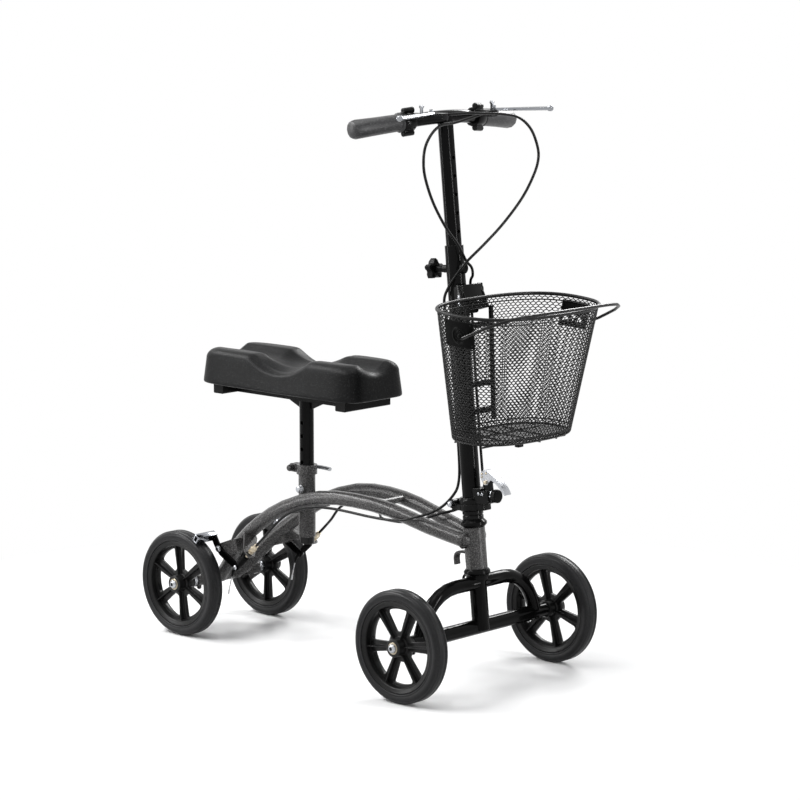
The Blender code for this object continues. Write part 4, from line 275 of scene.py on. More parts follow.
def object_from(name, bm):
    """An object with its faces pointing out."""
    bmesh.ops.recalc_face_normals(bm, faces=bm.faces)
    for face in bm.faces:
        face.smooth = True
    mesh = bpy.data.meshes.new(name)
    bm.to_mesh(mesh)
    bm.free()
    return linked(name, mesh)


def piece(name, bm, look, body, crease=50, replaces=(), soften=0.0, segments=2):
    """A finished piece in world metres that rides on a CAD body, where one is given."""
    made = object_from(name, bm)
    made.data.materials.append(LOOKS[look])
    if soften:
        rounded(made, soften, segments)
    if crease:
        creased(made, crease)
    if body:
        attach(made, body)
    if replaces:
        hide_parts(*replaces)
    return made


def frame_for(axis):
    """Two directions square to an axis and to each other."""
    axis = axis.normalized()
    side = axis.cross(Z if abs(axis.z) < 0.9 else X).normalized()
    return side, axis.cross(side)


def circle(bm, centre, side, other, radius, sides):
    turns = [2 * pi * k / sides for k in range(sides)]
    return [bm.verts.new(centre + (side * cos(t) + other * sin(t)) * radius) for t in turns]


def walls(bm, rings, closed=False):
    """Faces from each ring of vertices to the next. A ring may be a single point."""
    pairs = list(zip(rings, rings[1:]))
    if closed:
        pairs.append((rings[-1], rings[0]))
    for low, high in pairs:
        sides = max(len(low), len(high))
        for k in range(sides):
            n = (k + 1) % sides
            quad = [low[k % len(low)], low[n % len(low)], high[n % len(high)], high[k % len(high)]]
            quad = [v for i, v in enumerate(quad) if v not in quad[:i]]
            if len(quad) > 2:
                bm.faces.new(quad)


def spun(bm, origin, axis, profile, sides=48, closed=False):
    """Turns (radius, along) points about an axis."""
    axis = axis.normalized()
    side, other = frame_for(axis)
    rings = []
    for radius, along in profile:
        centre = origin + axis * along
        on_axis = radius < 1e-6
        rings.append([bm.verts.new(centre)] if on_axis else circle(bm, centre, side, other, radius, sides))
    walls(bm, rings, closed)
    return bm


def tube(bm, points, radius, sides=12):
    """A round bar along points, with one radius or one for each point."""
    last = len(points) - 1
    radii = radius if isinstance(radius, list) else [radius] * len(points)
    side, rings = None, []
    for i, here in enumerate(points):
        along = (points[min(i + 1, last)] - points[max(i - 1, 0)]).normalized()
        if side is None:
            side, other = frame_for(along)
        else:
            side = (side - along * side.dot(along)).normalized()
            other = along.cross(side)
        rings.append(circle(bm, here, side, other, radii[i], sides))
    walls(bm, rings)
    bm.faces.new(rings[0][::-1])
    bm.faces.new(rings[-1])
    return bm


def loop_tube(bm, points, radius, sides=10):
    """A round bar along a closed ring of points."""
    rings = []
    for i, here in enumerate(points):
        along = (points[(i + 1) % len(points)] - points[i - 1]).normalized()
        out = along.cross(Z).normalized()
        rings.append(circle(bm, here, out, out.cross(along), radius, sides))
    walls(bm, rings, closed=True)


def smooth(points, steps):
    """Reads a smooth curve through the points."""
    out = []
    for i in range(len(points) - 1):
        p1, p2 = points[i], points[i + 1]
        p0 = points[i - 1] if i else p1 * 2 - p2
        p3 = points[i + 2] if i + 2 < len(points) else p2 * 2 - p1
        for t in [k / steps for k in range(steps)]:
            out.append(0.5 * (2 * p1 + (p2 - p0) * t + (2 * p0 - 5 * p1 + 4 * p2 - p3) * t * t
                              + (3 * p1 - p0 - 3 * p2 + p3) * t ** 3))
    return out + [points[-1]]


def plate(bm, points, push):
    """A flat outline pushed into a solid."""
    low = [bm.verts.new(p) for p in points]
    high = [bm.verts.new(p + push) for p in points]
    bm.faces.new(low[::-1])
    bm.faces.new(high)
    walls(bm, [low, high])
    return bm


def screw_head(bm, place, axis, radius, height, sides=24, socket=True):
    """Button head, with a round socket or a plain dome."""
    profile = [(radius, -0.0002), (radius, height * 0.25), (radius * 0.92, height * 0.62),
               (radius * 0.7, height * 0.93)]
    if socket:
        bore = radius * 0.45
        profile += [(bore, height), (bore * 0.98, height * 0.35), (0, height * 0.3)]
    else:
        profile += [(radius * 0.35, height * 1.04), (0, height * 1.06)]
    return spun(bm, place, axis, profile, sides)


# CAD nodes that stay
OTHER_LOOK = {"fold_head": "casting", "fold_base": "casting", "lever_perch_right": "casting",
              "lever_perch_left": "casting", "headset_locknut": "casting", "seat_clamp_collar": "silver_vein",
              "brake_arm_right": "gloss_black", "brake_arm_left": "gloss_black"}


def dress_cad_nodes():
    """Smooth shading and finishes."""
    for name, obj in NODES.items():
        mesh = obj.data
        if "custom_normal" in mesh.attributes:
            mesh.attributes.remove(mesh.attributes["custom_normal"])
        for face in mesh.polygons:
            face.use_smooth = True
        weld = obj.modifiers.new("weld", "WELD")
        weld.merge_threshold = 0.00001
        creased(obj, 38)
        mesh.materials.clear()
        mesh.materials.append(LOOKS[OTHER_LOOK.get(name, SLOT_OF[name])])


# wheels
TYRE_R, TYRE_IN, TYRE_HALF, SHOULDER_R = 0.09525, 0.07805, 0.015, 0.0872
RIM_R, RIM_IN, RIM_HALF, WEB = 0.07775, 0.06625, 0.013, 0.003
HUB_R, HUB_HALF, SPOKE, RIB = 0.0155, 0.02, 0.0075, 0.002
WHEEL_TURN = {"front_right": -37.3, "front_left": -15.0, "rear_right": -5.2, "rear_left": 0.0}
WHEELS = [(f"{end}_{word}", end, s) for end in ("front", "rear") for word, s in SIDES]


def mirrored(half):
    """A profile and its mirror image, from one face to the other."""
    return half + [(r, -a) for r, a in half[::-1]]


def tyre_mesh():
    """Solid rubber tyre: flat sidewalls with a moulded bead line, round shoulders, fine ribs on the crown."""
    half = [(TYRE_IN, -0.0138), (TYRE_IN + 0.0006, -0.0146), (TYRE_IN + 0.0022, -0.0149),
            (TYRE_IN + 0.0034, -0.0143), (TYRE_IN + 0.0046, -0.0149), (SHOULDER_R, -TYRE_HALF)]
    rise, turn_in = TYRE_R - 0.001 - SHOULDER_R, 0.0086
    for t in [pi / 2 * k / 9 for k in range(1, 8)]:
        half.append((SHOULDER_R + rise * sin(t) ** 0.95, -TYRE_HALF + turn_in * (1 - cos(t))))
    for y in (-0.0082, -0.0062, -0.0042):
        half += [(TYRE_R - 0.0003, y - 0.0007), (TYRE_R, y), (TYRE_R, y + 0.0007),
                 (TYRE_R - 0.0007, y + 0.001)]
    half += [(TYRE_R - 0.0001, -0.0028), (TYRE_R, -0.002)]
    return spun(bmesh.new(), Vector(), Y, mirrored(half), 128, closed=True)


def window_outline():
    """One opening between two spokes, in the wheel's plane, with round corners."""
    inner, outer = HUB_R + 0.009, RIM_IN - 0.003
    half = pi / 6
    low = Vector((cos(half), sin(half)))
    inward = Vector((sin(half), -cos(half)))
    a = low * inner + inward * SPOKE
    b = low * outer + inward * (SPOKE + 0.0026)
    edge = atan2(b.y, b.x)
    arc = [Vector((cos(edge * t), sin(edge * t))) * outer for t in (0.66, 0.33, 0, -0.33, -0.66)]
    corners = [a, b] + arc + [Vector((b.x, -b.y)), Vector((a.x, -a.y))]
    radii = [0.004, 0.009, 0, 0, 0, 0, 0, 0.009, 0.004]
    out = []
    for i, (here, radius) in enumerate(zip(corners, radii)):
        if not radius:
            out.append(here)
            continue
        back, forth = corners[i - 1] - here, corners[(i + 1) % len(corners)] - here
        reach = radius / tan(back.angle(forth) / 2)
        cut = min(reach, back.length * 0.45, forth.length * (0.9 if i == 1 else 0.45))
        p0, p2 = here + back.normalized() * cut, here + forth.normalized() * cut
        out += [p0 * (1 - t) ** 2 + here * 2 * t * (1 - t) + p2 * t * t for t in [k / 8 for k in range(9)]]
    return out


def wheel_web():
    """The flat web from hub to rim, with its six windows cut and its edges rounded."""
    inner, outer = HUB_R - 0.004, RIM_IN + 0.002
    ring = [(inner, -WEB), (outer, -WEB), (outer, WEB), (inner, WEB)]
    web = object_from("web", spun(bmesh.new(), Vector(), Y, ring, 120, closed=True))
    bm = bmesh.new()
    for k in range(6):
        turn = Matrix.Rotation(pi / 2 + pi / 6 + k * pi / 3, 2)
        plate(bm, [Vector((p.x, -0.02, p.y)) for p in [turn @ q for q in window_outline()]], Y * 0.04)
    cutter = object_from("windows", bm)
    cut = web.modifiers.new("cut", "BOOLEAN")
    cut.object = cutter
    cut.operation = "DIFFERENCE"
    cut.solver = "EXACT"
    rounded(web, 0.0011, 2, 50)
    done = bpy.data.meshes.new_from_object(web.evaluated_get(bpy.context.evaluated_depsgraph_get()))
    for extra in (web, cutter):
        bpy.data.objects.remove(extra)
    bm = bmesh.new()
    bm.from_mesh(done)
    bpy.data.meshes.remove(done)
    return bm


def spoke_ribs(bm):
    """A thin rib down each spoke and face, lowest in the middle of the spoke and thicker at its foot."""
    top, foot = RIM_HALF - 0.003, HUB_R - 0.003
    run = RIM_IN + 0.004 - foot
    for k in range(6):
        turn = Matrix.Rotation(pi / 2 + k * pi / 3, 3, "Y")
        along, across = turn @ X, turn @ Z
        for face in (-1, 1):
            rows = []
            for t in [n / 10 for n in range(11)]:
                high = top - 0.0006 * sin(pi * t)
                half = [(-1.35, WEB - 0.001), (-0.75, WEB + 0.001), (-0.46, high - 0.0004), (-0.3, high)]
                section = half + [(-w, h) for w, h in half[::-1]]
                rows.append([bm.verts.new(along * (foot + run * t) + across * RIB * w + Y * face * h)
                             for w, h in section])
            for low, high in zip(rows, rows[1:]):
                for n in range(len(low) - 1):
                    bm.faces.new((low[n], low[n + 1], high[n + 1], high[n]))


def wheel_mesh():
    """Moulded wheel: stepped rim, a web with six windows, a thin rib down each spoke, and the hub."""
    bm = wheel_web()
    rim = [(RIM_IN + 0.0006, -WEB - 0.0002), (RIM_IN + 0.001, -WEB - 0.0016),
           (RIM_IN + 0.0022, -RIM_HALF + 0.0022), (RIM_IN + 0.003, -RIM_HALF + 0.0006),
           (RIM_IN + 0.0042, -RIM_HALF), (RIM_R - 0.0024, -RIM_HALF), (RIM_R - 0.0016, -RIM_HALF - 0.0006),
           (RIM_R - 0.0004, -RIM_HALF - 0.0004), (RIM_R, -RIM_HALF + 0.001)]
    spun(bm, Vector(), Y, mirrored(rim), 128, closed=True)
    spoke_ribs(bm)
    hub = [(0.0044, -HUB_HALF + 0.0008), (0.0098, -HUB_HALF + 0.0008), (0.01, -HUB_HALF),
           (HUB_R - 0.0022, -HUB_HALF), (HUB_R - 0.0006, -HUB_HALF + 0.0006), (HUB_R, -HUB_HALF + 0.0022),
           (HUB_R, -WEB - 0.003), (HUB_R + 0.0006, -WEB - 0.0014), (HUB_R + 0.0022, -WEB)]
    spun(bm, Vector(), Y, mirrored(hub), 64, closed=True)
    return bm


def placed(bm, centre, turn=0.0):
    bmesh.ops.transform(bm, matrix=Matrix.Translation(centre) @ Matrix.Rotation(turn, 4, "Y"), verts=bm.verts)
    return bm


def make_wheels():
    model = wheel_mesh()
    washer = [(0.0046, 0.0001), (0.0098, 0.0001), (0.01, 0.0005), (0.0096, 0.0009), (0.0046, 0.0009)]
    for wheel, end, s in WHEELS:
        hub, body = middle(f"tyre_{wheel}"), f"wheel_{wheel}"
        piece(f"rubber_tyre_{wheel}", placed(tyre_mesh(), hub), "tyre", body, crease=60,
              replaces=[f"tyre_{wheel}"])
        piece(f"moulded_wheel_{wheel}", placed(model.copy(), hub, radians(WHEEL_TURN[wheel])), "nylon", body,
              crease=42, replaces=[f"wheel_{wheel}"])
        bm = spun(bmesh.new(), hub + Y * s * HUB_HALF, Y * s, washer, 40, closed=True)
        piece(f"washer_{wheel}", bm, "brass", BODY_OF[f"axle_bolt_{wheel}"], crease=40)
    model.free()


# cushion
PAD_HEIGHT, PAD_LEAN, EDGE_IN, EDGE_DOWN = 0.063, 0.0042, 0.019, 0.3
SCOOP_DEEP, CHANNEL_DEEP = 0.0265, 0.015


def trough(value, half, lip):
    """One in the middle of a round-bottomed trough, nought beyond its softened lips."""
    deep = 1 - (value / half) ** 2
    return (deep + sqrt(deep * deep + lip * lip)) / (1 + sqrt(1 + lip * lip))


def pad_top(u, v):
    """Height of the pad's top: four lobes between a scoop across and a channel along."""
    across, channel = trough(u - 0.045, 0.4, 0.16), trough(v, 0.62, 0.22)
    scoop = SCOOP_DEEP * across * (0.52 + 0.48 * v * v)
    return PAD_HEIGHT - CHANNEL_DEEP * channel * (1 - 0.34 * across) - scoop


def cushion_mesh():
    """A sheet for the top, then walls that turn over in a wide arc and flare out to a small round foot."""
    low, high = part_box("cushion")
    half_long, half_wide = (high[0] - low[0]) / 2, (high[1] - low[1]) / 2
    mid, base = (high[0] + low[0]) / 2, low[2]
    columns, rows = 150, 64

    def place(u, v, shrink, lift):
        big = max(abs(u), abs(v))
        if big < 0.001:
            return Vector((mid, 0, base + lift))
        bend = (abs(u / big) ** 7 + abs(v / big) ** 7) ** (-1 / 7)
        grow = 1 + (bend - 1) * big ** 3
        return Vector((mid + u * grow * (half_long - shrink), v * grow * (half_wide - shrink), base + lift))

    def gathered(share):
        """Points gather at the border, where the top turns over."""
        return sin(share * pi / 2) * 0.5 + share * 0.5

    bm = bmesh.new()
    spots, sheet = {}, {}
    for i in range(columns + 1):
        for j in range(rows + 1):
            u, v = gathered(2 * i / columns - 1), gathered(2 * j / rows - 1)
            spot = place(u, v, PAD_LEAN + EDGE_IN, pad_top(u, v))
            ripple = noise.noise(Vector(((spot.x - mid) * 14, spot.y * 14, 0.3))) * 0.0006
            spots[i, j] = u, v
            sheet[i, j] = bm.verts.new(spot + Z * ripple * (1 - max(abs(u), abs(v)) ** 4))
    for i in range(columns):
        for j in range(rows):
            bm.faces.new((sheet[i, j], sheet[i + 1, j], sheet[i + 1, j + 1], sheet[i, j + 1]))
    border = [(i, 0) for i in range(columns)] + [(columns, j) for j in range(rows)]
    border += [(i, rows) for i in range(columns, 0, -1)] + [(0, j) for j in range(rows, 0, -1)]
    arc = [pi / 2 * k / 9 for k in range(1, 10)]
    wall = [(PAD_LEAN + EDGE_IN * (1 - sin(t)), 1 - EDGE_DOWN * (1 - cos(t))) for t in arc]
    flare = ((0.72, 0.52), (0.46, 0.36), (0.24, 0.22), (0.06, 0.11))
    wall += [(PAD_LEAN * lean, share) for lean, share in flare]
    wall += [(0.0001, 0.05), (0.0008, 0.022), (0.0022, 0.006), (0.0045, 0.0)]
    rings = [[sheet[key] for key in border]]
    for shrink, share in wall:
        rings.append([bm.verts.new(place(u, v, shrink, pad_top(u, v) * share))
                      for u, v in [spots[key] for key in border]])
    walls(bm, rings)
    bm.faces.new(rings[-1])
    return bm


def make_cushion():
    pad = piece("knee_pad", cushion_mesh(), "cushion", "seat", crease=0, replaces=["cushion"])


# basket
RIM_AHEAD, RIM_Z, RIM_DEEP, RIM_WIDE, RIM_TILT = 0.0802, 0.6485, 0.088, 0.1615, -0.0778
FLOOR_AHEAD, FLOOR_Z, FLOOR_DEEP, FLOOR_WIDE, FLOOR_TILT = 0.0664, 0.4322, 0.0655, 0.1185, -0.043
ROUND, WALL_IN = 2.6, 0.0012
COLUMNS, ROWS = 164, 48
HEM_LOW, HEM_HIGH, BOND = 0.018, 0.985, 0.0044
BACK_WINDOWS, BACK_HALF = ((0.165, 0.325), (0.82, 0.935)), 0.0285
PLATE_LOW, PLATE_HIGH = 0.765, 0.965
PLATE_AHEAD = {-1: (-0.02, 0.036), 1: (-0.034, 0.021)}
CELL_X, CELL_Y = 0.0046, 0.0053


def half_sizes(share):
    """Half the basket's depth and width, from 0 at the floor to 1 at the rim."""
    return between(FLOOR_DEEP, RIM_DEEP, share), between(FLOOR_WIDE, RIM_WIDE, share)


def oval(turn, deep, wide):
    """A place on a rounded rectangle."""
    c, s = cos(turn), sin(turn)
    return copysign(abs(c) ** (2 / ROUND), c) * deep, copysign(abs(s) ** (2 / ROUND), s) * wide


def basket_place(share, x, y, lift=0.0):
    """A place given from the basket's middle at a height."""
    z = between(FLOOR_Z, RIM_Z, share) + x * between(FLOOR_TILT, RIM_TILT, share) + lift
    return fore(between(FLOOR_AHEAD, RIM_AHEAD, share) + x, y, z)


def basket_point(share, turn, grow=0.0, lift=0.0):
    """A point on the basket's wall."""
    deep, wide = half_sizes(share)
    x, y = oval(turn, deep + grow, wide + grow)
    return basket_place(share, x, y, lift)


def even_turns(count, fine=2400):
    """Turns that are evenly spaced along the basket's outline."""
    points = [basket_point(0.6, 2 * pi * k / fine) for k in range(fine + 1)]
    run = [0.0]
    for a, b in zip(points, points[1:]):
        run.append(run[-1] + (b - a).length)
    out, k = [], 0
    for n in range(count):
        want = run[-1] * n / count
        while run[k + 1] < want:
            k += 1
        part = (want - run[k]) / max(1e-9, run[k + 1] - run[k])
        out.append(2 * pi * (k + part) / fine)
    return out


def net(name, bm, strand, replaces=()):
    """A sheet of cells as a net of strands."""
    made = piece(name, bm, "mesh_black", "basket", crease=0, replaces=replaces)
    strands = made.modifiers.new("net", "WIREFRAME")
    strands.thickness = strand
    strands.use_even_offset = False
    strands.use_replace = True


def is_open(share, turn):
    """True in the windows of the back wall, and behind the bail's side plates."""
    ahead, y = oval(turn, *half_sizes(share))
    if cos(turn) < 0 and abs(y) < BACK_HALF:
        return any(low < share < high for low, high in BACK_WINDOWS)
    rear, front = PLATE_AHEAD[1 if y > 0 else -1]
    on_side = rear + 0.003 < ahead < front - 0.003 and abs(y) > 0.1
    return on_side and PLATE_LOW + 0.012 < share < PLATE_HIGH - 0.012


def make_basket_net():
    """Walls of six-sided cells between the hems."""
    bm = bmesh.new()
    turns, heights = even_turns(COLUMNS), [between(HEM_LOW, HEM_HIGH, j / ROWS) for j in range(ROWS + 1)]
    spots = [(i, j) for j in range(ROWS + 1) for i in range(COLUMNS)]
    knots = {}
    for i, j in spots:
        if (i + j) % 2 == 0:
            for n in (0, 1):
                spot = basket_point(heights[j] + BOND * (2 * n - 1), turns[i], -WALL_IN)
                knots[i, j, n] = bm.verts.new(spot)
    for i, j in spots:
        if (i + j) % 2 == 0 or is_open(heights[j], turns[i]):
            continue
        before, after = (i - 1) % COLUMNS, (i + 1) % COLUMNS
        keys = ((before, j, 1), (before, j, 0), (i, j - 1, 1), (after, j, 0), (after, j, 1), (i, j + 1, 0))
        corners = [knots[key] for key in keys if key in knots]
        if len(corners) > 4:
            bm.faces.new(corners)
    for vert in [v for v in bm.verts if not v.link_faces]:
        bm.verts.remove(vert)
    net("basket_net", bm, 0.0021, ["basket_mesh"])


def floor_point(x, y):
    return fore(FLOOR_AHEAD + x, y, FLOOR_Z + 0.0012 + x * FLOOR_TILT)


def make_floor_net():
    """Four-sided cells inside the floor's outline."""
    bm = bmesh.new()
    knots = {}
    for i, j in [(i, j) for i in range(-16, 17) for j in range(-24, 25) if (i + j) % 2]:
        x, y = abs(i * CELL_X), abs(j * CELL_Y)
        if (x / (FLOOR_DEEP - 0.003)) ** ROUND + (y / (FLOOR_WIDE - 0.003)) ** ROUND >= 1:
            continue
        around = ((i - 1, j), (i, j - 1), (i + 1, j), (i, j + 1))
        for a, b in around:
            if (a, b) not in knots:
                knots[a, b] = bm.verts.new(floor_point(a * CELL_X * 0.985, b * CELL_Y * 0.985))
        bm.faces.new([knots[key] for key in around])
    net("basket_floor_net", bm, 0.0011)


def floor_reach(place, along, across):
    """How far a wire under the floor reaches to each side, at a place along the floor."""
    return across * (1 - (abs(place) / along) ** ROUND) ** (1 / ROUND) - 0.004


def make_basket_wires():
    """Rim wire, hems and the wires under the floor."""
    bm = bmesh.new()
    turns = even_turns(160)
    loop_tube(bm, [basket_point(1.0, t, -0.0003) for t in turns], 0.0029, 12)
    loop_tube(bm, [basket_point(0.955, t, -WALL_IN - 0.0004) for t in turns], 0.0012, 8)
    loop_tube(bm, [basket_point(0.012, t, -0.003, -0.0004) for t in turns], 0.0022, 10)
    loop_tube(bm, [basket_point(0.045, t, -0.0016) for t in turns], 0.0013, 8)
    for y in (-0.045, 0.0, 0.045):
        reach = floor_reach(y, FLOOR_WIDE, FLOOR_DEEP)
        tube(bm, [floor_point(reach * k / 6, y) - Z * 0.0022 for k in range(-6, 7)], 0.0016, 8)
    for x in (-0.03, 0.03):
        reach = floor_reach(x, FLOOR_DEEP, FLOOR_WIDE)
        tube(bm, [floor_point(x, reach * k / 8) - Z * 0.004 for k in range(-8, 9)], 0.0016, 8)
    piece("basket_wires", bm, "mesh_black", "basket", crease=0)


def make_basket_feet():
    bm = bmesh.new()
    for x, y in ((0.05, -0.04), (0.036, 0.085)):
        spot = floor_point(x, y) - Z * 0.008
        corners = ((-1, -1), (1, -1), (1, 1), (-1, 1))
        plate(bm, [spot + X * 0.0045 * a + Y * 0.0065 * b for a, b in corners], Z * 0.007)
    piece("basket_feet", bm, "satin_black", "basket", crease=30, soften=0.0012)


# side plates that hold the bail
PLATE_COLUMNS, PLATE_ROWS, PLATE_THICK = 50, 36, 0.0014
PLATE_TALL = (PLATE_HIGH - PLATE_LOW) * (RIM_Z - FLOOR_Z)
PIVOT_AHEAD, PIVOT_HIGH, PIVOT_SHARE = 0.01, 0.019, 0.853


def wall_spot(share, ahead, side, grow):
    """A point on the basket's side wall at a place ahead of its middle."""
    deep, wide = half_sizes(share)
    y = (1 - (abs(ahead) / deep) ** ROUND) ** (1 / ROUND) * wide + grow
    return basket_place(share, ahead, side * y)


def in_slot(ahead, high):
    """True in the three small holes in a row on the left plate."""
    for centre, flip in ((-0.0235, 1), (-0.0095, -1), (0.0045, 1)):
        rise = (high - 0.015) * flip
        if abs(rise) < 0.0052 and abs(ahead - centre) < 0.006 - 0.5 * (rise + 0.0052):
            return True
    return False


def pressed(ahead, high):
    """How far the plate stands out in the rings around the bail's pivot."""
    reach = hypot(ahead - PIVOT_AHEAD, high - PIVOT_HIGH)
    outer = 0.0011 * exp(-((reach - 0.0125) / 0.0011) ** 2)
    inner = 0.0009 * exp(-((reach - 0.0068) / 0.001) ** 2)
    return outer + inner - 0.0008 * (0.008 < reach < 0.0112)


def bail_plate(s):
    """A bent ear with pressed rings around the bail's pivot."""
    rear, front = PLATE_AHEAD[s]
    lift = 0.0024 if s < 0 else 0.0012

    def solid(i, j):
        ahead, high = between(rear, front, (i + 0.5) / PLATE_COLUMNS), PLATE_TALL * (j + 0.5) / PLATE_ROWS
        return 0 <= i < PLATE_COLUMNS and 0 <= j < PLATE_ROWS and (s < 0 or not in_slot(ahead, high))

    bm = bmesh.new()
    skins = {}
    for skin in (0, 1):
        for i in range(PLATE_COLUMNS + 1):
            for j in range(PLATE_ROWS + 1):
                ahead = between(rear, front, i / PLATE_COLUMNS)
                out = lift + pressed(ahead, PLATE_TALL * j / PLATE_ROWS) - PLATE_THICK * skin
                spot = wall_spot(between(PLATE_LOW, PLATE_HIGH, j / PLATE_ROWS), ahead, s, out)
                skins[skin, i, j] = bm.verts.new(spot)
    for i, j in [(i, j) for i in range(PLATE_COLUMNS) for j in range(PLATE_ROWS) if solid(i, j)]:
        around = ((i, j), (i + 1, j), (i + 1, j + 1), (i, j + 1))
        bm.faces.new([skins[0, a, b] for a, b in around])
        bm.faces.new([skins[1, a, b] for a, b in around[::-1]])
        for k, (di, dj) in enumerate(((0, -1), (1, 0), (0, 1), (-1, 0))):
            if not solid(i + di, j + dj):
                (a, b), (c, d) = around[k], around[(k + 1) % 4]
                bm.faces.new((skins[0, a, b], skins[0, c, d], skins[1, c, d], skins[1, a, b]))
    return bm


def make_bail_plates():
    for word, s in SIDES:
        piece(f"bail_plate_{word}", bail_plate(s), "satin_black", "basket", crease=35)
        rear, front = PLATE_AHEAD[s]
        rivets = [(a, b, 0.0021) for a in (rear + 0.0035, front - 0.0035) for b in (0.785, 0.945)]
        bm = bmesh.new()
        for ahead, share, radius in rivets + [(PIVOT_AHEAD, PIVOT_SHARE, 0.0036)]:
            out = (wall_spot(share, ahead, s, 0.01) - wall_spot(share, ahead, s, 0.0)).normalized()
            screw_head(bm, wall_spot(share, ahead, s, 0.0024), out, radius, 0.0012, 16, socket=False)
        piece(f"bail_plate_rivets_{word}", bm, "satin_black", "basket", crease=60)


# basket frame and its hook block
def back_bar(bm, low, high, y, half, front, thick):
    """A flat bar along the back wall between two heights."""
    low, high = basket_point(low, pi), basket_point(high, pi)
    corners = ((low, -half), (low, half), (high, half), (high, -half))
    plate(bm, [Vector((p.x + front, y + left, p.z)) for p, left in corners], X * -thick)


def make_rails():
    """Two upright rails and three cross bars."""
    bm = bmesh.new()
    for y in (-0.03, 0.03):
        back_bar(bm, 0.06, 0.93, y, 0.0032, 0.0027, 0.0057)
    for share in (0.118, 0.325, 0.775):
        back_bar(bm, share + 0.004, share + 0.043, 0, 0.031, 0.0024, 0.005)
    piece("basket_rails", bm, "satin_black", "basket", crease=30, replaces=["basket_frame"], soften=0.0006)


def behind_wall(share, lift=0.0):
    """A point in the middle plane, just behind the basket's back wall."""
    here = basket_point(share, pi)
    return Vector((here.x - 0.0012, 0, here.z + lift))


BLOCK_LOW, BLOCK_BROW, BLOCK_HIGH = 0.5314, 0.5668, 0.5768
BLOCK_REAR, BLOCK_FRONT, BLOCK_HALF = 0.0226, 0.0334, 0.0283
SHELL, SIDE_WALL, SUNK = 0.0026, 0.0034, 0.0004
BLOCK_FOOT = behind_wall(0.93)
BLOCK_SLOPE = column(BLOCK_FRONT, 0, BLOCK_BROW) - BLOCK_FOOT
BLOCK_OUT = Y.cross(BLOCK_SLOPE).normalized()


def block_face(left, along):
    """A point just under the sloping front of the hook block."""
    share = (along - BLOCK_LOW) / (BLOCK_BROW - BLOCK_LOW)
    return BLOCK_FOOT + BLOCK_SLOPE * share + Y * left - BLOCK_OUT * SUNK


def make_hook_block():
    """A moulded shell, open behind and above, with raised ribs, a tall tab on its left and two screws."""
    front = [behind_wall(0.9, 0.004), BLOCK_FOOT, column(BLOCK_FRONT, 0, BLOCK_BROW),
             column(BLOCK_FRONT, 0, BLOCK_HIGH)]
    cheek = [column(BLOCK_REAR, 0, BLOCK_LOW)] + front + [column(BLOCK_REAR, 0, BLOCK_HIGH)]
    skin = front + [q - AHEAD * SHELL for q in front[::-1]]
    inner = BLOCK_HALF - SIDE_WALL
    bm = bmesh.new()
    plate(bm, [q - Y * inner for q in skin], Y * 2 * inner)
    for side in (-1, 1):
        plate(bm, [q + Y * side * (inner - 0.0001) for q in cheek], Y * side * (SIDE_WALL + 0.0001))
    piece("hook_block", bm, "casting", "basket", crease=30, soften=0.0012, segments=3)

    bm = bmesh.new()
    for y0, y1, a0, a1, out in ((-0.0235, 0.0235, 0.549, 0.5512, 0.0016),
                                (-0.025, -0.0228, 0.534, 0.564, 0.0012),
                                (0.0228, 0.025, 0.534, 0.564, 0.0012),
                                (-0.018, 0.018, 0.535, 0.546, 0.0006)):
        corners = ((y0, a0), (y1, a0), (y1, a1), (y0, a1))
        plate(bm, [block_face(y, a) for y, a in corners], BLOCK_OUT * (out + SUNK))
    piece("hook_block_ribs", bm, "casting", "basket", crease=30, soften=0.0005)

    bm = bmesh.new()
    tab = [(0.017, 0.548), (0.03, 0.548), (0.031, 0.55), (0.031, 0.569), (0.0285, 0.5735),
           (0.02, 0.5735), (0.017, 0.57)]
    plate(bm, [column(a, 0.029, n) for a, n in tab], Y * 0.004)
    piece("hook_block_tab", bm, "casting", "basket", crease=30, soften=0.0014, segments=3)

    bm = bmesh.new()
    for along in (0.545, 0.557):
        screw_head(bm, column(0.0285, -BLOCK_HALF, along), -Y, 0.003, 0.0016, 20)
    piece("hook_block_screws", bm, "zinc", "basket")


# cables
CABLE_R, CABLE_STEPS = 0.0024, 10
BARREL_AHEAD, BARREL_LEFT, BARREL_Z = -0.034, 0.047, 0.96
FOOT, STOP = Vector((REAR_X + 0.1131, 0, 0.1358)), Vector((REAR_X + 0.1453, 0, 0.1655))
PULL = (STOP - FOOT).normalized()
BRAKE_Y = 0.08


def in_mm(place, *rows):
    """Places given in millimetres."""
    return [place(*[value / 1000 for value in row]) for row in rows]


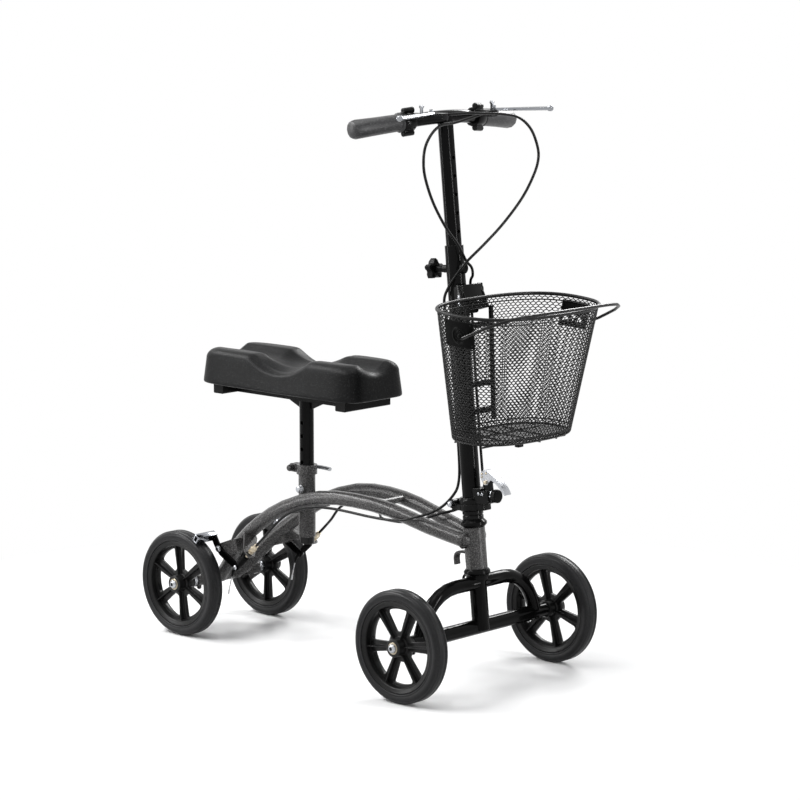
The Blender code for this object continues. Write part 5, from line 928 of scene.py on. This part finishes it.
# Each cable's four lengths: the loop, down the column, past the steering, along the frame.
ROUTES = {
    "right": [
        [fore(BARREL_AHEAD, -BARREL_LEFT, BARREL_Z)]
        + in_mm(at, (287, -10, 961), (293, 30, 959), (298, 70, 956), (302, 105, 949), (307, 129, 930),
                (313, 139, 903), (318, 137, 880), (319, 124, 853), (316, 98, 816), (309, 59, 776),
                (301, 21, 744), (290, -11, 716)),
        in_mm(column, (22, -20.5, 596), (2, -23.5, 573), (-15, -17.5, 551), (-22.5, -6, 515),
              (-20.5, -2, 450), (-20.5, -2, 350), (-20.5, -3, 272), (-22.5, -7, 239), (-30, -12, 222)),
        in_mm(at, (248, -21, 299), (229, -34, 285), (205, -45, 276), (180, -49.5, 268), (143.5, -50, 264)),
        in_mm(at, (100, -51, 264), (55, -51.7, 265.7), (15, -53, 266.5), (-20, -59, 265), (-53.3, -64, 258),
              (-93.3, -68, 236.6))],
    "left": [
        [fore(BARREL_AHEAD, BARREL_LEFT, BARREL_Z)]
        + in_mm(at, (278, 10, 952), (279, -30, 946), (282, -65, 944), (289, -95, 934), (295, -119, 914),
                (300, -130, 890), (302, -128, 862), (301, -108, 821), (296, -72, 778), (289, -33, 745),
                (282, -5, 716)),
        in_mm(column, (27.5, 9, 604), (18, 21.5, 590), (9, 24, 575), (8, 24, 520), (10, 20, 450),
              (11, 18.5, 350), (11, 19, 262), (6, 27, 234), (-13, 30, 216)),
        in_mm(at, (256, 30, 296), (235, 24, 283), (212, 10, 275), (185, -5, 264), (152, -15, 256),
              (120, -20.5, 255.5)),
        in_mm(at, (95, -12, 255), (70, 10, 256), (40, 30, 259), (5, 44, 261), (-35, 53, 258),
              (-75, 61, 240), (-105, 69, 213))],
}
# The body at each end of a length, and a start and an end place for each.
LENGTHS = {"loop": ("handlebar", "column", at(0.3, 0, 0.93), at(0.286, 0, 0.74)),
           "column": ("column", "fork", column(0, 0, 0.33), column(0, 0, 0.225)),
           "steer": ("fork", "frame", None, None), "frame": ("frame", None, None, None)}


def make_cables():
    """Two cables, cut into lengths. The length along the frame rides on it; the others are tied to no body.
    """
    for word, s in SIDES:
        route, splits = [], [0]
        for length in ROUTES[word]:
            route += length
            splits.append((len(route) - 1) * CABLE_STEPS)
        stop = at(STOP.x, BRAKE_Y * s, STOP.z)
        line = smooth(route + [stop + PULL * 0.044, stop + PULL * 0.0243], CABLE_STEPS)
        splits[-1] = len(line) - 1
        for where, first, last in zip(LENGTHS, splits, splits[1:]):
            points = line[first:last + 1]
            bm = bmesh.new()
            tube(bm, points, CABLE_R, 12)
            body, other, start, end = LENGTHS[where]
            made = piece(f"brake_cable_{where}_{word}", bm, "cable", None if other else body,
                         replaces=[f"cable_{where}_{word}"])
            if other:
                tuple(start or points[0])
                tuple(end or points[-1])
                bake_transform(made)


# axle bolts
TUBE_ENDS = {"front": 0.17, "rear": 0.078}
SHANK_R, SPACER_R, GAP = 0.0038, 0.0117, 0.0003


def make_axle_bolts():
    """Dome heads with a socket, and spacers between the wheels and the axle tubes."""
    head = [(SHANK_R, 0.0009), (0.0078, 0.0009), (0.008, 0.0016), (0.0074, 0.0034), (0.006, 0.005),
            (0.0044, 0.0059), (0.0034, 0.0062), (0.0031, 0.0058), (0.003, 0.003), (0, 0.0026)]
    socket = [(0, 0.0028), (0.0029, 0.0032), (0.0029, 0.0036), (0, 0.0034)]
    for wheel, end, s in WHEELS:
        hub, body = middle(f"tyre_{wheel}"), BODY_OF[f"axle_bolt_{wheel}"]
        inner, outer = TUBE_ENDS[end] - abs(hub.y), -HUB_HALF - GAP
        shank = [(0, inner - 0.0255), (SHANK_R, inner - 0.0255), (SHANK_R, inner + GAP)]
        spacer = [(SPACER_R - 0.0005, inner + GAP), (SPACER_R, inner + 0.0008), (SPACER_R, outer - 0.0005),
                  (SPACER_R - 0.0005, outer), (SHANK_R, outer)]
        profile = shank + spacer + [(r, HUB_HALF + a) for r, a in head]
        piece(f"dome_bolt_{wheel}", spun(bmesh.new(), hub, Y * s, profile, 36), "zinc", body,
              replaces=[f"axle_bolt_{wheel}"])
        bm = spun(bmesh.new(), hub + Y * s * HUB_HALF, Y * s, socket, 6)
        piece(f"bolt_socket_{wheel}", bm, "satin_black", body)


# brakes
PIVOT = Vector((REAR_X + 0.0678, 0, 0.163))
SHOE_THICK, SHOE_HALF, SHOE_END = 0.0069, 0.005, 0.1248
REACH, SLOPE = TYRE_R + 0.0022 + SHOE_THICK, radians(59.2)
RADIAL = Vector((cos(SLOPE), 0, sin(SLOPE)))
AROUND = Vector((-sin(SLOPE), 0, cos(SLOPE)))
SHEATH_R, WIRE_R, BOOT_RIBS = 0.0031, 0.001, 8


def shoe_skin(s):
    """Bright skin around a brake shoe, flush on the tyre's side, with a hollow in its end."""
    shoe = at(REAR_X, 0, TYRE_R) + RADIAL * REACH
    near, end = (BRAKE_Y - 0.00175) * s, SHOE_END * s
    bm = bmesh.new()
    rings = []
    for y, shrink in ((near, -0.0006), (end, -0.0006), (end, 0.0022), (end - s * 0.0296, 0.0022)):
        tread, back, half = max(shrink, -0.0001) - SHOE_THICK, SHOE_THICK - shrink, SHOE_HALF - shrink
        corners = ((tread, -half), (back, -half), (back, half), (tread, half))
        rings.append([bm.verts.new(shoe + Y * y + RADIAL * a + AROUND * b) for a, b in corners])
    walls(bm, rings)
    bm.faces.new(rings[0])
    bm.faces.new(rings[-1])
    return bm


def wire_tail(word, s, body, foot):
    """The wire's end below the brake arm: sheath, bright wire with its crimp, and clamp."""
    line = smooth([foot, foot - PULL * 0.012, foot + Vector((-0.017, 0.001, -0.028)),
                   foot + Vector((-0.024, 0.002, -0.052))], 8)
    bm = tube(bmesh.new(), line[:14], [SHEATH_R] * 8 + [SHEATH_R - 0.0019 * k / 5 for k in range(6)], 12)
    piece(f"wire_sheath_{word}", bm, "satin_black", body)
    bm = bmesh.new()
    tube(bm, line[12:], WIRE_R, 10)
    tube(bm, [line[-1] + (line[-3] - line[-1]).normalized() * k for k in (0.008, -0.001)], 0.0016, 12)
    piece(f"brake_wire_{word}", bm, "steel_wire", body)
    bm = screw_head(bmesh.new(), foot + Y * s * 0.005, Y * s, 0.0044, 0.0022, 6, socket=False)
    piece(f"wire_clamp_{word}", bm, "zinc", body)


def ribbed_boot(word, foot):
    """Soft ribs between the brake arm and the frame, tied to no body."""
    first, last = 0.0088, (STOP - FOOT).length - 0.0114
    profile = [(0.0012, first)]
    for k in range(BOOT_RIBS):
        low, high = between(first, last, k / BOOT_RIBS), between(first, last, (k + 1) / BOOT_RIBS)
        rib = [(0.0043, low + 0.0001), (0.0056, between(low, high, 0.35)), (0.0058, between(low, high, 0.5)),
               (0.0056, between(low, high, 0.65)), (0.0043, high - 0.0001)]
        profile += [(radius + 0.0009 * k / BOOT_RIBS, along) for radius, along in rib]
    bm = spun(bmesh.new(), foot, PULL, profile + [(0.0012, last)], 28)
    boot = piece(f"ribbed_boot_{word}", bm, "satin_black", None, crease=60, replaces=[f"brake_boot_{word}"])
    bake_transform(boot)


def make_brakes():
    for word, s in SIDES:
        body = f"brake_arm_{word}"
        piece(f"shoe_skin_{word}", shoe_skin(s), "chrome", body, crease=30, soften=0.0006)
        bm = screw_head(bmesh.new(), at(PIVOT.x, (BRAKE_Y + 0.0013) * s, PIVOT.z), Y * s, 0.006, 0.0052, 28)
        piece(f"brake_pivot_bolt_{word}", bm, "zinc", body)
        foot = at(FOOT.x, BRAKE_Y * s, FOOT.z)
        wire_tail(word, s, body, foot)
        ribbed_boot(word, foot)


# fold joint
HEAD_FOOT = 0.2077
LATCH = column(0.04, 0, HEAD_FOOT + 0.0365)


def make_fold_details():
    """Zinc ring behind the knob, casting screws, rivets in the lever's cheeks, caps of the hinge pin."""
    bm = spun(bmesh.new(), column(0.0463, 0, HEAD_FOOT + 0.0125), AHEAD,
              [(0.0073, 0.0002), (0.0096, 0.0002), (0.01, 0.0007), (0.01, 0.0026), (0.0096, 0.0031),
               (0.0073, 0.0031)], 6, closed=True)
    piece("latch_washer", bm, "zinc", "column", crease=30)
    bm = bmesh.new()
    for ahead, rise in ((0.0257, 0.017), (0.034, 0.0165)):
        for s in (-1, 1):
            screw_head(bm, column(ahead, s * 0.0113, HEAD_FOOT + rise), Y * s, 0.0026, 0.0018, 20)
    piece("casting_screws", bm, "zinc", "column")
    bm = bmesh.new()
    for ahead, rise in ((-0.007, 0.014), (-0.0074, 0.0088), (0.002, 0.015)):
        for s in (-1, 1):
            spot = LATCH + AHEAD * ahead + UP_COLUMN * rise + Y * s * 0.0073
            screw_head(bm, spot, Y * s, 0.002, 0.0011, 16, socket=False)
    piece("latch_rivets", bm, "brass", "latch_lever", crease=60)
    for word, s in SIDES:
        bm = spun(bmesh.new(), middle("fold_pin") + Y * s * 0.0252, Y * s,
                  [(0.0048, -0.0006), (0.0048, 0.0004), (0.004, 0.0012), (0, 0.0014)], 24)
        piece(f"hinge_pin_cap_{word}", bm, "zinc", "column")


# where the side tubes meet the head tube
NOSE_R, BEAD_COUNT = 0.0128, 64


def weld_bead(centre, axis):
    """A rippled bead around a tube."""
    side, other = frame_for(axis)
    ring = []
    for t in [2 * pi * k / BEAD_COUNT for k in range(BEAD_COUNT)]:
        ripple = 0.0004 * sin(t * 19)
        ring.append(centre + (side * cos(t) + other * sin(t)) * (NOSE_R + ripple))
    bm = bmesh.new()
    rings = []
    for k, here in enumerate(ring):
        along = (ring[(k + 1) % BEAD_COUNT] - ring[k - 1]).normalized()
        thick = 0.0019 + 0.0003 * sin(k * 1.9)
        rings.append(circle(bm, here, along.cross(axis).normalized(), axis, thick, 8))
    walls(bm, rings, closed=True)
    return bm


def make_tube_noses():
    """Mitred noses with a weld bead."""
    for word, s in SIDES:
        start = at(0.29, s * 0.019, 0.245)
        back = (at(0.2192, s * 0.028, 0.259) - start).normalized()
        nose = smooth([start + back * 0.004, start, at(0.296, s * 0.013, 0.2432),
                       at(0.3, s * 0.006, 0.242)], 4)
        bm = tube(bmesh.new(), nose, [NOSE_R] * 5 + [NOSE_R - 0.0009 * k for k in range(len(nose) - 5)], 28)
        piece(f"tube_nose_{word}", bm, "silver_vein", "frame", crease=60)
        piece(f"weld_{word}", weld_bead(start - back * 0.0035, back), "silver_vein", "frame", crease=0)


# lever tips
def make_lever_tips():
    """A round tip on each brake lever. The one in the photograph is bright, the other is black."""
    profile = [(0, 0), (0.0022, 0.0003), (0.0038, 0.0014), (0.0045, 0.0035), (0.0045, 0.005),
               (0.0038, 0.007), (0.0022, 0.0082), (0, 0.0086)]
    for word, s in SIDES:
        bm = spun(bmesh.new(), fore(-0.013, s * 0.1836, 0.961), Y * s, profile, 24)
        piece(f"lever_tip_{word}", bm, "chrome" if s < 0 else "satin_black", f"brake_lever_{word}",
              crease=60)


# camera
AZIMUTH, ELEVATION = radians(42.813), radians(9.087)
LENS, SENSOR, DISTANCE = 131.75, 36, 5.1073
AIM_Z, AIM_RIGHT, AIM_UP = 0.45, 0.0936, -0.00024


def make_camera():
    """Looks at the middle of the wheelbase from the photograph's place."""
    level = Vector((sin(AZIMUTH), -cos(AZIMUTH), 0))
    view = level * cos(ELEVATION) + Z * sin(ELEVATION)
    right = Vector((cos(AZIMUTH), sin(AZIMUTH), 0))
    up = view.cross(right)
    lens = bpy.data.cameras.new("camera")
    lens.lens, lens.sensor_width = LENS, SENSOR
    lens.clip_start, lens.clip_end = 0.1, 60
    camera = linked("camera", lens)
    camera.matrix_world = Matrix((right, up, view)).transposed().to_4x4()
    camera.matrix_world.translation = at(0, 0, AIM_Z) + view * DISTANCE + right * AIM_RIGHT + up * AIM_UP
    bpy.context.scene.camera = camera


# world, floor and lamps
def seen_by(tree, *kinds):
    """One for rays of these kinds, nought for the others."""
    path = add(tree, "LightPath").outputs
    seen = 0.0
    for kind in kinds:
        seen = math_of(tree, "MAXIMUM", path[f"Is {kind} Ray"], seen)
    return seen


def make_world():
    """A dim fill, which the eye and the reflections see as white."""
    world = bpy.data.worlds.new("studio")
    bpy.context.scene.world = world
    world.use_nodes = True
    tree = world.node_tree
    tree.nodes.clear()
    fill = add(tree, "Background", {"Color": (0.97, 0.98, 1, 1), "Strength": 0.24})
    white = add(tree, "Background", {"Color": grey(1), "Strength": 1.0})
    seen = seen_by(tree, "Camera", "Glossy", "Transmission")
    both = add(tree, "MixShader", {0: seen, 1: fill.outputs[0], 2: white.outputs[0]})
    add(tree, "OutputWorld", {"Surface": both.outputs[0]})


def make_floor():
    """A pale floor that turns to plain white away from the object."""
    bm = bmesh.new()
    spun(bm, Vector(), Z, [(0, 0), (0.8, 0), (1.8, 0), (9.0, 0)], 96)
    floor = object_from("floor", bm)
    floor.location = (0, 0, CAD_BOX[0][2] - 0.0002)
    mat, tree, shader = nodes_of("floor_white")
    place = add(tree, "TexCoord").outputs["Object"]
    reach = add(tree, "VectorMath", {0: place}, operation="LENGTH").outputs["Value"]
    seen = seen_by(tree, "Camera", "Glossy")
    white = mix(tree, seen, grey(0.45), grey(0.95))
    plug(tree, shader, {"Base Color": white, "Roughness": 0.9, "Specular IOR Level": 0.1})
    far = math_of(tree, "MULTIPLY", spread(tree, reach, 0, 1, 0.5, 1.1), seen)
    glow = add(tree, "Emission", {"Color": grey(1), "Strength": 1.0})
    both = add(tree, "MixShader", {0: far, 1: shader.outputs[0], 2: glow.outputs[0]})
    tree.links.new(both.outputs[0], tree.nodes["Material Output"].inputs["Surface"])
    floor.data.materials.append(mat)


def lamp(name, place, aim, size, watts):
    data = bpy.data.lights.new(name, "AREA")
    data.shape = "RECTANGLE"
    data.size, data.size_y = size
    data.energy = watts
    made = linked(name, data)
    made.location = place
    made.rotation_euler = (Vector(aim) - Vector(place)).to_track_quat("-Z", "Y").to_euler()


def make_lamps():
    lamp("overhead", (0.25, -0.1, 2.6), (0, 0, 0.3), (1.4, 1.4), 19)
    lamp("top_strip", (-1.3, -1.1, 2.0), (-0.1, 0, 0.35), (3.0, 0.3), 58)
    lamp("right_strip", (2.54, 0.58, 1.0), (0, 0, 0.6), (0.12, 1.9), 30)
    lamp("left_strip", (-1.85, -1.83, 1.0), (0, 0, 0.6), (0.22, 1.9), 24)
    lamp("back_strip", (-0.35, 2.3, 2.0), (0.1, 0, 0.3), (1.5, 0.45), 46)


# the whole scene
dress_cad_nodes()
make_wheels()
make_cushion()
make_basket_net()
make_floor_net()
make_basket_wires()
make_basket_feet()
make_bail_plates()
make_rails()
make_hook_block()
make_cables()
make_axle_bolts()
make_brakes()
make_fold_details()
make_tube_noses()
make_lever_tips()
make_camera()
make_world()
make_floor()
make_lamps()
bpy.context.scene.view_settings.view_transform = "Standard"
